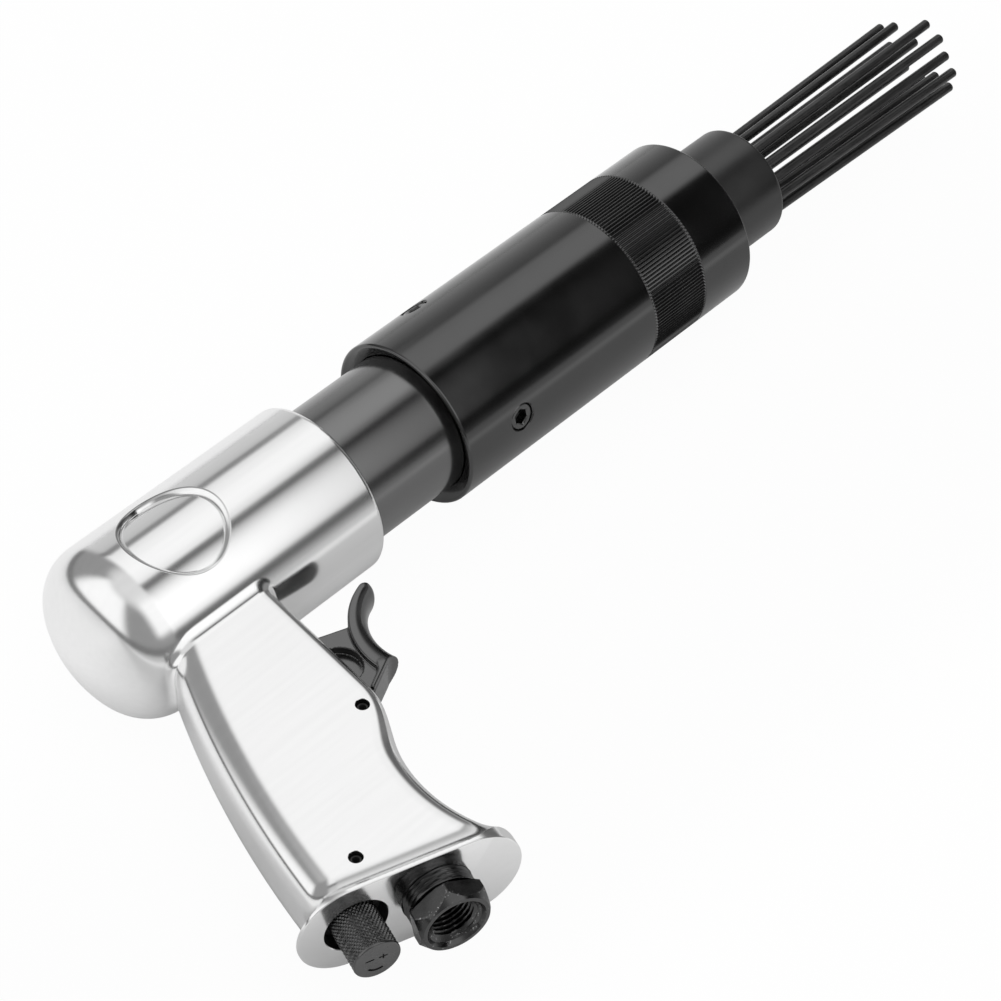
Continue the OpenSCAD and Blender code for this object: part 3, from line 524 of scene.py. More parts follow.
# Domed cylinder: distance from the axis less the radius, a corner arc and a shallow cap behind it
def domeField(x, y, z):
    c = casting
    r, t = np.hypot(y, z), -x
    corner = np.hypot(t - c["domeFrom"], r - (c["radius"] - c["domeCorner"])) - c["domeCorner"]
    cap = np.hypot(t - c["capFrom"], r) - c["domeCap"]
    inCap = r * (c["domeFrom"] - c["capFrom"]) < (c["radius"] - c["domeCorner"]) * (t - c["capFrom"])
    side = np.where(t < c["domeFrom"], r - c["radius"], np.where(inCap, cap, corner))
    return roundMax(side, x, c["frontEdge"])


# Grip: inside the strap's great circle, outside the finger hollow, behind the sloping front, between two flat sides;
# the front edges grow rounder down to the hollow
def gripField(x, y, z):
    c = casting
    g, u = gripPlace(x, y)
    side = np.abs(z) - c["gripHalf"]
    back = np.hypot(g - c["strap"][0], u - c["strap"][1]) - c["strap"][2]
    lean = math.radians(c["frontLean"])
    face = (g - triggerPin["across"]) * math.cos(lean) + (triggerPin["down"] - u) * math.sin(lean) - c["frontCover"]
    face = face - c["frontFall"][1] * np.maximum(u - c["frontFall"][0], 0)
    hollow = c["hollow"][2] - np.hypot(g - c["hollow"][0], u - c["hollow"][1])
    front = easeMax(face, hollow, c["frontEase"])
    down = np.clip((u - c["edgesFrom"][0]) / c["edgesFrom"][1], 0, 1)
    edge = c["frontEdges"][0] + (c["frontEdges"][1] - c["frontEdges"][0]) * down * down * (3 - 2 * down)
    power = c["edgePower"]
    grip = np.maximum(roundMax(back, side, c["backEdge"], power), roundMax(front, side, edge, power))
    grip = np.maximum(grip, y + c["gripTop"])
    foot = np.minimum(filletUnion(grip, c["flangeTop"] - u, c["footFillet"]),
                      filletUnion(grip, c["flangeTop"] + c["flareDrop"] - u, c["flare"]))
    past = np.maximum(np.maximum(c["flangeSpan"][0] - g, g - c["flangeSpan"][1]), 0)
    ends = np.hypot(past, z) - c["flangeRadius"] - c["footSpare"]
    return np.maximum(np.maximum(foot, u - c["footTo"]), np.where(u > c["footFrom"], ends, -50.0))


# The whole casting: cylinder and grip joined, with a fillet in the crotch between them
def castField(x, y, z):
    return filletUnion(domeField(x, y, z), gripField(x, y, z), casting["crotch"])


# Bar between two depths, round an axis down the grip
def gripBore(name, axis, rows, columns=96):
    rows = np.array(rows, float)
    return gridSolid(name, downGrip(axis, rows[:, 0], np.repeat(rows[:, 1:], columns, 1)), False, True)


# Round recess on the side: floor and lip stand at a depth below the cylinder, rolled out towards the rim
def recessCutter():
    c = casting
    out = np.linspace(0, 1, 9)
    lip = np.stack([c["recessRadius"] + c["recessLip"] * (1 - out), -(0.3 * out + 1.0 * out ** 2)], 1)[::-1]
    deep = c["recessDepth"]
    floor = np.array([(r, -deep) for r in (0.0, 2, 4, 6, 8, 10, 11.5, 12.6)])
    foot = np.array([(12.95, -deep + 0.02), (13.2, -deep + 0.06), (13.4, -deep + 0.13)])
    rows = np.vstack([floor, foot, lip, [(15.4, 0.25), (15.4, 4.0), (10.0, 4.0), (0.0, 4.0)]])
    turn = fullTurn(180)
    across = rows[:, :1] * np.sin(turn)
    window = np.stack([c["recessAt"] + rows[:, :1] * np.cos(turn), across,
                       np.sqrt((c["radius"] + rows[:, 1:]) ** 2 - across ** 2)], -1)
    return gridSolid("sideRecess", window, False, True)


# What is bored out of the casting, as rows of place along the bore and radius, and the corners of the trigger's slot
bores = {"barrel": [(-75.7, 0.0), (-75.7, 21.15), (-0.6, 21.15), (0.3, 22.05), (6.0, 22.05), (6.0, 0.0)],
         "pin": [(-16.0, 0.0), (-16.0, 2.4), (-12.1, 2.05), (-11.9, 1.87), (11.9, 1.87), (12.1, 2.05), (16.0, 2.4),
                 (16.0, 0.0)],
         "throttle": [(-6.0, 0.0), (-6.0, 6.1), (-34.045, 6.1), (-34.045, 0.0)], "throttleAt": 18.5,
         "knob": [(130.2, 0.0), (130.2, 8.65), (134.9, 8.65), (135.3, 9.0), (140.0, 9.0), (140.0, 0.0)],
         "regulator": [(105.6, 0.0), (105.6, 5.6), (131.0, 5.6), (131.0, 0.0)],
         "inlet": [(117.25, 0.0), (117.25, 9.62), (140.0, 9.62), (140.0, 0.0)],
         "slot": ((-7.145, 60.0), (-4.9, 33.4), (-5.0, 5.0))}


# What stays of the foot: a stadium with a crisp rim, wide open above it
def footKeeper():
    c = casting
    half = np.radians(np.concatenate([np.linspace(90, 270, 73), np.linspace(-90, 90, 73)]))
    centre = np.where(np.arange(146) < 73, c["flangeSpan"][0], c["flangeSpan"][1])
    radius, end, e = c["flangeRadius"], c["flangeEnd"], c["rimEdge"]
    edge = arc(radius - e, end - e, e, 0, 90, 6)
    rim = np.vstack([[(0.0, -60.0), (160.0, -60.0), (160.0, 108.0), (radius, 108.0)], edge, [(0.0, end)]])
    keeper = gripPoint(centre + rim[:, :1] * np.cos(half), rim[:, 1:], rim[:, :1] * np.sin(half))
    return gridSolid("footKeeper", keeper, False, True)


def makeHousing():
    c = casting
    points, quads = netSurface(castField, c["boxLow"], c["boxHigh"], c["step"])
    housing = solidFrom("housingCasting", points, quads)
    print("casting net of", len(quads), "quads")
    carve(housing, [footKeeper()], "INTERSECT")
    cutters = [recessCutter(), turned("barrelBore", np.array(bores["barrel"]), 256, False)]
    box = triggerPoint(*[a.ravel() for a in np.meshgrid(*bores["slot"], indexing="ij")])
    cutters.append(solidFrom("triggerSlot", box, boxFaces))
    rows = np.array(bores["pin"])
    for name, pin in (("triggerPinHole", triggerPin), ("regulatorPinHole", regulatorPin)):
        cutters.append(gridSolid(name, acrossGrip(pin, rows[:, 0], rows[:, 1], 48), False, True))
    turn = fullTurn(72)
    rows = np.array(bores["throttle"])
    hole = triggerPoint(rows[:, :1] + 0 * turn, bores["throttleAt"] + rows[:, 1:] * np.cos(turn),
                        rows[:, 1:] * np.sin(turn))
    cutters.append(gridSolid("throttleBore", hole, False, True))
    cutters += [gripBore("knobRecess", regulatorAxis, bores["knob"]),
                gripBore("regulatorBore", regulatorAxis, bores["regulator"]),
                gripBore("inletBore", inletAxis, bores["inlet"])]
    carve(housing, cutters)
    shadeSmooth(housing, 30.0)
    shadeFrom(housing, lambda p: unit(slopeOf(castField, p)))
    return housing


# Room inside the bores, the trigger slot and the knob's recess, whose faces keep the casting's rough skin, its
# near-black tone painted shade
roughShadedRoom = {"bores": [(regulatorAxis, 8.72, 100.0, 134.85), (inletAxis, 9.68, 117.0, 134.6)],
             "slot": (5.01, 48.9, 87.6, -0.25), "pins": (1.95, 11.85), "barrel": (21.3, -76.5)}


def insideFaces(housing):
    x, y, z = placesOf(housing.data, True).T
    g, u = gripPlace(x, y)
    half, start, stop, under = roughShadedRoom["slot"]
    inside = (np.abs(z) < half) & (u > start) & (u < stop) & (castField(x, y, z) < under)
    for axis, radius, start, stop in roughShadedRoom["bores"]:
        inside |= (np.hypot(g - axis, z) < radius) & (u > start) & (u < stop)
    radius, half = roughShadedRoom["pins"]
    for pin in (triggerPin, regulatorPin):
        inside |= (np.hypot(g - pin["across"], u - pin["down"]) < radius) & (np.abs(z) < half)
    radius, start = roughShadedRoom["barrel"]
    return inside | ((np.hypot(y, z) < radius) & (x > start))


# Painted shade, a dark tone, on the side recess's rolled lip: most on its upper side, fading out to both ends
lipPaintedShade = {"from": (13.7, 0.3), "to": (15.0, 0.12), "toward": 125.0, "most": 0.62}


def recessPaintedShade(housing):
    x, y, z = placesOf(housing.data).T
    along = x - casting["recessAt"]
    out = np.hypot(along, y)
    onLip = np.clip((out - lipPaintedShade["from"][0]) / lipPaintedShade["from"][1], 0, 1)
    onLip = onLip * np.clip((lipPaintedShade["to"][0] - out) / lipPaintedShade["to"][1], 0, 1)
    upper = np.cos(np.arctan2(y, along) - math.radians(lipPaintedShade["toward"]))
    return lipPaintedShade["most"] * onLip * np.clip(upper + 0.3, 0, 1) ** 1.5 * (z > 10)


housingCasting = makeHousing()
finishPiece(housingCasting, polishedCasting, "housing_body", "cast_aluminium", "housing")
# faces inside the housing take the dark rough skin as painted shade
secondFinish(housingCasting, castSkinAndShade, insideFaces(housingCasting))
# painted shade on the recess lip, kept per point
keepValue(housingCasting, "lipPaintedShade", recessPaintedShade(housingCasting))

# Barrel: a turned steel tube with the groove for the clamp screws
barrelRows = [(-62.2, 12.06), (-62.2, 20.55), (-61.7, 21.05), (49.8, 21.05), (49.8, 19.55), (58.8, 19.55),
              (58.8, 21.05), (66.5, 21.05), (67.0, 20.55), (67.0, 10.06), (40.4, 10.06), (40.4, 12.06)]
finishPiece(turned("barrelTube", outline(barrelRows)), barrelSteel, "housing_body", "barrel_steel", "barrel")

# Rear sleeve of the attachment, with a rounded rear edge and three screw holes
sleeve = {"from": 33.3, "to": 109.0, "radius": 25.5, "rearEdge": 0.8, "frontEdge": 0.3,
          "mouth": [(35.2, 21.3), (33.35, 24.5)],
          "inside": [(109.0, 22.95), (126.0, 22.95), (126.0, 20.4), (67.4, 20.4), (67.4, 21.3)],
          "hole": [(15.0, 0.0), (15.0, 4.1), (25.0, 4.1), (25.9, 4.75), (29.0, 4.75), (29.0, 0.0)],
          "screwAt": 54.3, "screwTurns": (47.5, 167.5, 287.5), "screwRadius": 4.0, "screwTop": 25.0,
          "screwFoot": 19.65, "socket": 4.0}


# Surface of a bar that stands out from the barrel's axis: height along the bar and radius round it
def outFromAxis(degrees, x, heights, rings):
    a = math.radians(degrees)
    out, side = np.array([0.0, math.cos(a), math.sin(a)]), np.array([0.0, -math.sin(a), math.cos(a)])
    turn = fullTurn(rings.shape[1])
    along = np.array([1.0, 0.0, 0.0])
    return (x * along + heights[:, None, None] * out + (rings * np.cos(turn))[..., None] * along
            + (rings * np.sin(turn))[..., None] * side)


def makeSleeve():
    s = sleeve
    e, f = s["rearEdge"], s["frontEdge"]
    profile = outline(s["mouth"], arc(s["from"] + e, s["radius"] - e, e, 180, 90),
                      arc(s["to"] - f, s["radius"] - f, f, 90, 0, 4), s["inside"])
    piece = turned("rearSleeve", profile, 384)
    rows = np.array(s["hole"])
    rings = np.repeat(rows[:, 1:], 64, 1)
    carve(piece, [gridSolid("screwHole%d" % i, outFromAxis(a, s["screwAt"], rows[:, 0], rings), False, True)
                  for i, a in enumerate(s["screwTurns"])])
    shadeSmooth(piece)
    shadeFrom(piece, lambda p: unit(p * np.array([0.0, 1.0, 1.0])), 2.5)
    return piece


finishPiece(makeSleeve(), blackSleeve, "housing_body", "black_sleeve", "rear_sleeve")


# Clamp screws: a round bar with a chamfered top and a six-sided socket
def makeScrews():
    s = sleeve
    turn = fullTurn(96)
    ring = np.ones(96)
    six = hexRadius(turn, s["socket"])
    top, foot, r = s["screwTop"], s["screwFoot"], s["screwRadius"]
    heights = np.array([foot, foot, top - 0.5, top - 0.12, top, top, top - 0.35, top - 0.5, top - 3.0, top - 3.4])
    rings = np.stack([0 * ring, r * ring, r * ring, (r - 0.34) * ring, (r - 0.55) * ring, 2.75 * ring,
                      np.minimum(2.45, six + 0.05), six, six, 0 * ring])
    parts = [outFromAxis(a, s["screwAt"], heights, rings) for a in s["screwTurns"]]
    quads = gridFaces(len(heights), 96, False, True)
    return solidFrom("clampScrews", np.concatenate([p.reshape(-1, 3) for p in parts]),
                     np.concatenate([quads + i * len(heights) * 96 for i in range(3)]))


finishPiece(makeScrews(), blackOxide, "housing_body", "black_oxide", "clamp_screws")

# Front collar: a band of straight knurling, a smooth band and the nose
collar = {"from": 109.0, "knurlTo": 130.5, "to": 149.9, "radius": 25.5, "ridges": 150, "knurlDepth": 0.42,
          "noseRadius": 17.3, "noseTo": 174.6, "noseBore": 15.0, "noseEdge": 1.2, "noseFoot": 3.0, "seat": 23.05,
          "inside": [(145.3, 15.0), (145.3, 20.4), (126.5, 20.4), (126.5, 23.05)]}


# Radius is the turned profile, less a wave of 150 ridges that fades in and out at the band's ends
def makeCollar():
    c = collar
    rim, nose, e, f = c["radius"], c["noseRadius"], c["noseEdge"], c["noseFoot"]
    start, band, end, tip, bore = c["from"], c["knurlTo"], c["to"], c["noseTo"], c["noseBore"]
    bandEnd = np.array([-0.7, -0.5, -0.35, -0.2, -0.08, 0.0, 0.15])
    outer = np.vstack([[(start, c["seat"]), (start, rim - 0.5), (start + 0.12, rim - 0.2), (start + 0.5, rim)],
                       np.stack([np.linspace(start + 0.8, band - 0.9, 8), np.full(8, rim)], 1),
                       np.stack([band + bandEnd, np.full(7, rim)], 1),
                       [(end - 0.75, rim)], arc(end - 0.6, rim - 0.6, 0.6, 90, 0, 5), [(end, nose + f + 0.12)],
                       arc(end + f, nose + f, f, 180, 270, 8), [(end + f + 0.15, nose), (tip - e - 0.15, nose)],
                       arc(tip - e, nose - e, e, 90, 0, 7), [(tip, bore + 0.4), (tip - 0.4, bore)], c["inside"]])
    columns = c["ridges"] * 8
    turn = fullTurn(columns)
    wave = np.abs(2 * np.mod(turn * c["ridges"] / (2 * np.pi), 1.0) - 1.0)
    wave = np.clip(1.25 * (1 - wave), 0, 1)
    x, r = outer[:, :1], outer[:, 1:]
    onRim = (r > rim - 0.55) & (x < c["knurlTo"] + 0.05)
    fade = np.clip((c["knurlTo"] - x) / 0.5, 0, 1)
    rings = r - onRim * np.sqrt(fade) * c["knurlDepth"] * wave
    points = np.stack([x + 0 * turn, rings * np.cos(turn), rings * np.sin(turn)], -1)
    return gridSolid("frontCollar", points, True, True, 38.0)


frontCollar = makeCollar()
finishPiece(frontCollar, blackSleeve, "housing_body", "black_sleeve", "front_collar")
secondFinish(frontCollar, dullNose, placesOf(frontCollar.data, True)[:, 0] > collar["to"] + 0.05)

# Needles: twelve headed rods that spread from their holder to their tips
needles = {"headsAt": 77.9, "length": 181.0, "radius": 1.5, "headRadius": 1.95, "headDepth": 2.0, "draw": 0.76,
           "columns": 24, "tips": [(14.5, 1), (9.5, 4.5), (10, -3.5), (-2, 12), (1.5, 3), (-7.5, 9.5), (3.5, -8),
                                   (-10.5, 4.5), (-3, -8.5), (-8, -5), (-14, 0), (-13.5, -6)]}


# Each rod is a turned outline carried along the straight line from its root to its tip
def makeNeedles():
    n = needles
    l, r, head, wide = n["length"], n["radius"], n["headDepth"], n["headRadius"]
    rows = np.array([(0.0, 0.0), (0.0, wide), (head, wide), (head, r), (head + 0.2, r), (l - 0.75, r), (l - 0.6, r),
                     (l - 0.35, r - 0.12), (l - 0.12, r - 0.38), (l, r - 0.75), (l, 0.0)])
    tips = np.array(n["tips"], float)
    foot = np.column_stack([np.full(12, n["headsAt"]), n["draw"] * tips])
    way = unit(np.column_stack([np.full(12, l), (1 - n["draw"]) * tips]))
    one = unit(np.cross(way, np.array([0.0, 0.0, 1.0])))
    two = np.cross(way, one)
    turn = fullTurn(n["columns"])
    around = one[:, None, None] * np.cos(turn)[:, None] + two[:, None, None] * np.sin(turn)[:, None]
    along, radius = rows[:, 0][:, None, None], rows[:, 1][:, None, None]
    points = foot[:, None, None] + along * way[:, None, None] + radius * around
    quads = gridFaces(len(rows), n["columns"], False, True)
    each = len(rows) * n["columns"]
    quads = np.concatenate([quads + i * each for i in range(12)])
    return solidFrom("needleBundle", points.reshape(-1, 3), quads, 50.0)


finishPiece(makeNeedles(), needleOxide, "needle_pack", "needle_steel", *["needle_%02d" % (i + 1) for i in range(12)])

# Trigger: a curved finger piece that runs into a rounded lower rim, on a thinner web with round pockets
lever = {"fingerAt": (31.7, 22.9), "outer": 22.4, "inner": (18.8, 0.0565), "strip": 21.5, "tip": 115.0,
         "bump": 203.0, "half": 6.0, "swellHalf": 6.15, "edge": 0.5, "tipRound": 1.7, "tipSwell": 2.4, "webHalf": 4.6,
         "boss": 4.2, "bore": 1.81,
         "web": [(0.0, 31.0), (10.6, 30.6), (14.3, 14.9), (6.3, 6.9), (4.2, -1.0), (0.0, -1.0)],
         "rim": [(17.2, 20.4), (17.6, 18.2), (7.4, 8.3), (6.7, 9.2), (10.5, 13.0), (12.0, 16.0)],
         "rimWay": (0.71, 0.705), "rimReach": 24.9, "rimSwell": 5.5,
         "pocket": (2.8, 19.6, 6.3, 2.2), "pocketFoot": 6.8,
         "step": 0.25, "boxLow": (-5.0, -5.2, -6.6), "boxHigh": (25.6, 43.4, 6.6)}


# Finger: between two arcs round one centre, the front one swelling towards the middle, with a rounded tip;
# rim: an outline that ends in a round tongue; web and boss: outlines with a pocket sunk in each side
def leverField(t, v, z):
    p = lever
    side = np.abs(z)
    swell = 1 - np.sqrt(np.clip(1 - (side / p["swellHalf"]) ** 2, 0, 1))
    dx, dy = t - p["fingerAt"][0], v - p["fingerAt"][1]
    rho = np.hypot(dx, dy)
    angle = np.degrees(np.arctan2(dy, dx)) % 360
    inner = p["inner"][0] - p["inner"][1] * (np.clip(angle, 100, 220) - 120)
    bend = roundMax(rho - p["outer"], inner + (p["strip"] - inner) * swell - rho, 0.3)
    bend = roundMax(bend, (p["tip"] - angle) * 0.35 + p["tipSwell"] * swell, p["tipRound"])
    bend = np.maximum(bend, (angle - p["bump"]) * 0.3)
    finger = roundMax(bend, side - p["half"], p["edge"])
    reach = p["rimWay"][0] * t + p["rimWay"][1] * v - p["rimReach"] + p["rimSwell"] * swell
    rim = roundMax(roundMax(polygonField(t, v, p["rim"]), reach, 1.0), side - p["half"], p["edge"])
    web = np.minimum(polygonField(t, v, p["web"]), np.hypot(t, v) - p["boss"])
    web = roundMax(web, side - p["webHalf"], 0.4)
    px, py, pr, pz = p["pocket"]
    pocket = np.maximum(np.hypot(t - px, v - py) - pr, pz - side)
    pocket = np.maximum(np.maximum(pocket, p["pocketFoot"] - v), p["outer"] + 0.3 - rho)
    web = np.maximum(web, -pocket)
    whole = filletUnion(filletUnion(finger, rim, 0.5), web, 0.35)
    return np.maximum(whole, p["bore"] - np.hypot(t, v))


def makeLever():
    points, quads = netSurface(leverField, lever["boxLow"], lever["boxHigh"], lever["step"])
    return solidFrom("triggerLever", triggerPoint(*points.T), quads, 40.0)


triggerLever = makeLever()
finishPiece(triggerLever, glossBlack, "trigger_body", "black_gloss", "trigger")


# Faces on the pockets' walls, which take a dull dark finish as painted shade
def pocketShadeFaces(piece):
    x, y, z = placesOf(piece.data, True).T
    g, u = gripPlace(x, y)
    t, v, side = g - triggerPin["across"], triggerPin["down"] - u, np.abs(z)
    px, py, pr, pz = lever["pocket"]
    return (np.abs(np.hypot(t - px, v - py) - pr) < 0.35) & (side > pz + 0.1) & (side < lever["webHalf"] - 0.02)


# the pocket walls' darker finish is painted shade
secondFinish(triggerLever, pinSteel, pocketShadeFaces(triggerLever))


# Pins: round bars with a chamfer and a hollow end, as rows of radius and side
pinRows = [(0.0, 8.4), (0.75, 8.4), (0.9, 10.6), (1.0, 10.8), (1.35, 10.8), (1.75, 10.4)]


def makePin(name, pin):
    rows = np.array(pinRows + [(r, -z) for r, z in pinRows[::-1]])
    return gridSolid(name, acrossGrip(pin, rows[:, 1], rows[:, 0], 40), False, True)


finishPiece(makePin("triggerPinBar", triggerPin), pinSteel, "housing_body", "pin_steel", "trigger_pin")
finishPiece(makePin("regulatorPinBar", regulatorPin), pinSteel, "housing_body", "pin_steel", "regulator_pin")

# Regulator knob: crossed knurling, a smooth end with a minus, a plus and an arc sunk in it, and its stem
knob = {"radius": 6.35, "end": 146.6, "knurlFrom": 131.4, "knurlTo": 146.0, "starts": 34, "lead": 17.0,
        "depth": 0.42, "columns": 340, "rows": 90, "minus": (-2.1, 0.85, 1.2), "plus": (1.5, 0.75, 1.15),
        "arc": (3.5, -138.0, -68.0, 0.36), "stroke": 0.22, "sunk": 0.4,
        "stem": [(106.6, 0.0), (106.6, 5.5), (114.45, 5.5), (114.45, 4.0), (116.85, 4.0), (116.85, 5.5),
                 (122.55, 5.5), (122.55, 2.95), (126.85, 2.95), (126.85, 5.5), (129.8, 5.5), (129.8, 6.1),
                 (130.2, 6.35), (130.8, 6.3)],
        "endDrop": [(146.2, 0.04), (146.4, 0.12), (146.52, 0.24), (146.6, 0.42), (146.6, 0.7), (146.6, 6.35)]}


# Marks stand in the knob's end: bars across it and a stretch of a ring
def knobMarks():
    k = knob
    depths = np.array([k["end"] - k["sunk"], k["end"] + 0.5])

    def bar(name, g, z, longG, longZ):
        a, b, d = np.meshgrid([g - longG, g + longG], depths, [z - longZ, z + longZ], indexing="ij")
        return solidFrom(name, gripPoint(regulatorAxis + a.ravel(), b.ravel(), d.ravel()), boxFaces)
    radius, start, stop, half = k["arc"]
    turn = np.radians(np.linspace(start, stop, 24))[:, None]
    ring = np.array([radius - half, radius + half, radius + half, radius - half])
    level = depths[[0, 0, 1, 1]]
    sweep = gripPoint(regulatorAxis + ring * np.cos(turn), level + 0 * turn, ring * np.sin(turn))
    ends = [np.repeat(sweep[i].mean(0)[None, None], 4, 1) for i in (0, -1)]
    curve = gridSolid("arcMark", np.concatenate([ends[0], sweep, ends[1]]), False, True)
    g, z, l = k["minus"]
    h, y, m = k["plus"]
    w = k["stroke"]
    return [bar("minusMark", g, z, l, w), bar("plusMarkA", h, y, m, w), bar("plusMarkB", h, y, w, m * 0.8), curve]


# Radius less the deeper of two waves that wind opposite ways
def makeKnob():
    k = knob
    turn = fullTurn(k["columns"])
    band = np.linspace(k["knurlFrom"], k["knurlTo"], k["rows"])
    stem, drop = np.array(k["stem"]), np.array(k["endDrop"])
    depths = np.concatenate([stem[:, 0], band, drop[:, 0]])
    radii = np.concatenate([stem[:, 1], np.full(k["rows"], k["radius"]), k["radius"] - drop[:, 1]])
    u, a = depths[:, None], turn[None, :]
    around, wind = k["starts"] * a / (2 * np.pi), (u - 130.0) * k["starts"] / (k["lead"] * 2.4)
    ways = [np.abs(np.mod(around + way, 1.0) * 2 - 1) for way in (wind, -wind)]
    groove = np.maximum(*[np.clip(1 - way * 1.2, 0, 1) for way in ways])
    inBand = np.clip((u - k["knurlFrom"]) / 0.3, 0, 1) * np.clip((k["knurlTo"] - u) / 0.3, 0, 1)
    rings = radii[:, None] - k["depth"] * groove * inBand
    piece = gridSolid("regulatorKnob", downGrip(regulatorAxis, depths, rings), False, True, 28.0)
    carve(piece, knobMarks())
    shadeSmooth(piece, 28.0)
    return piece


finishPiece(makeKnob(), blackOxide, "regulator_body", "black_oxide", "regulator_knob")

# Inlet bush: threaded neck, chamfered hexagon, and a bore with a thread for the air fitting
bush = {"radius": 9.5, "pitch": 1.3, "neckFrom": 119.0, "neckEnd": 139.3, "neckTo": 140.2, "end": 145.9,
        "hexagon": 19.1, "turn": 7.0, "endRing": 9.1, "endSlope": 0.62, "backRing": 10.3, "mouth": 7.9, "bore": 5.7,
        "boreTo": 130.4, "borePitch": 1.34, "root": 6.65, "columns": 192, "sharp": 1.1, "wearReach": 0.55,
        "seat": [(118.0, 7.3), (118.0, 8.9), (118.4, 9.3)], "shoulder": [(139.5, 8.75), (140.2, 8.75)],
        "strainer": [(129.7, 5.7), (129.7, 4.5), (119.6, 4.5), (119.6, 7.3)]}


# Rows run from the seat out along the neck, over the hexagon and back in through the bore; the radius of each is a
# plain turn, a winding groove or the flats of a hexagon under a chamfer cone
def makeBush():
    b = bush
    a = fullTurn(b["columns"])[None, :]
    neck = np.linspace(b["neckFrom"], b["neckEnd"], 170)
    head = np.linspace(b["neckTo"], b["end"] - 0.02, 46)
    inside = np.linspace(b["end"] - 1.0, b["boreTo"], 140)
    six = hexRadius(a - math.radians(b["turn"]), b["hexagon"])

    def winding(u, pitch):
        wave = 1 - np.abs(2 * np.mod(u[:, None] / pitch + a / (2 * np.pi), 1.0) - 1)
        return np.clip(b["sharp"] * wave, 0, 1)

    def plain(rows):
        rows = np.array(rows)
        return rows[:, 0], np.repeat(rows[:, 1:], b["columns"], 1)
    neckFade = np.clip((b["neckEnd"] - neck) / 0.8, 0, 1)[:, None]
    neckRings = b["radius"] - 0.7 * winding(neck, b["pitch"]) * neckFade
    cone = b["endRing"] + (b["end"] - head)[:, None] * b["endSlope"]
    backCone = b["backRing"] + (head - b["neckTo"])[:, None] * 1.6
    headRings = np.minimum(np.minimum(six, cone), backCone)
    boreFade = np.clip((inside - b["boreTo"]) / 1.2, 0, 1)[:, None]
    insideRings = b["bore"] + (b["root"] - b["bore"]) * winding(inside, b["borePitch"]) * boreFade
    insideRings = np.maximum(insideRings, b["mouth"] - 0.55 - (b["end"] - 1.0 - inside)[:, None] * 1.3)
    end, mouth = b["end"], b["mouth"]
    lip = [(end, b["endRing"] - 0.05), (end, mouth + 0.12), (end - 0.15, mouth), (end - 0.9, mouth - 0.5)]
    parts = [plain(b["seat"]), (neck, neckRings), plain(b["shoulder"]), (head, headRings), plain(lip),
             (inside, insideRings), plain(b["strainer"])]
    depths, rings = [np.concatenate(rows) for rows in zip(*parts)]
    piece = gridSolid("inletBush", downGrip(inletAxis, depths, rings), True, True, 34.0)
    # worn edges: how near each point lies to a crease of the hexagon or its chamfer
    x, y, z = placesOf(piece.data).T
    g, u = gripPlace(x, y)
    around = np.arctan2(z, g - inletAxis) - math.radians(b["turn"])
    flats = hexRadius(around, b["hexagon"])
    crease = np.minimum(np.abs(flats - b["endRing"] - (b["end"] - u) * b["endSlope"]), 3.2 * (11.03 - flats))
    keepValue(piece, "wear", np.exp(-(crease / b["wearReach"]) ** 2) * (u > b["neckTo"]))
    return piece


finishPiece(makeBush(), wornOxide, "housing_body", "black_oxide", "inlet_bush")


# Springs: a round wire carried along a helix, its ends turned flat
def windSpring(name, start, way, up, radius, wire, length, turns, steps=40, columns=12):
    t = np.linspace(0, 1, int(turns * steps) + 1)
    way, up = np.array(way, float), np.array(up, float)
    side = np.cross(way, up)
    a = 2 * np.pi * turns * t
    rise = wire / 2 + (length - wire) * t
    out = np.cos(a)[:, None] * up + np.sin(a)[:, None] * side
    centre = np.array(start, float) + rise[:, None] * way + radius * out
    third = np.cross(unit(np.gradient(centre, axis=0)), out)
    ring = fullTurn(columns)
    tube = np.cos(ring)[:, None] * out[:, None] + np.sin(ring)[:, None] * third[:, None]
    tube = centre[:, None] + wire / 2 * tube
    tube = np.concatenate([centre[:1, None] + 0 * tube[:1], tube, centre[-1:, None] + 0 * tube[-1:]])
    return gridSolid(name, tube, False, True, 50.0)


returnCoil = windSpring("returnCoil", (92.1, 0, 0), (1, 0, 0), (0, 1, 0), radius=17.8, wire=2.6, length=53.1,
                        turns=7)
finishPiece(returnCoil, springSteel, "housing_body", "spring_steel", "return_spring")
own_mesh(returnCoil)
backWay = triggerPoint(0, 0, 0) - triggerPoint(1, 0, 0)
throttleCoil = windSpring("throttleCoil", triggerPoint(-23.15, 18.5, 0), backWay, (0, 0, 1), radius=3.45, wire=0.9,
                          length=10.8, turns=5)
finishPiece(throttleCoil, springSteel, "housing_body", "spring_steel", "throttle_spring")
tuple(toRow(triggerPoint(-34.0, 18.5, 0)))
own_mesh(throttleCoil)

# Solids that stay as they are, each with its own finish
keptFinish = [(plainSteel, ("valve_case", "flutter_disc", "port_plate", "valve_dowel", "piston", "throttle_stem",
                            "anvil", "needle_holder")),
              (rubberBlack, ("valve_gasket", "throttle_seal", "regulator_ring", "inlet_gasket")),
              (brassTone, ("throttle_bush", "inlet_screen"))]
for material, names in keptFinish:
    for name in names:
        nodes[name].data.materials.clear()
        nodes[name].data.materials.append(material)
print("kept solids dressed:", sum(len(names) for material, names in keptFinish))
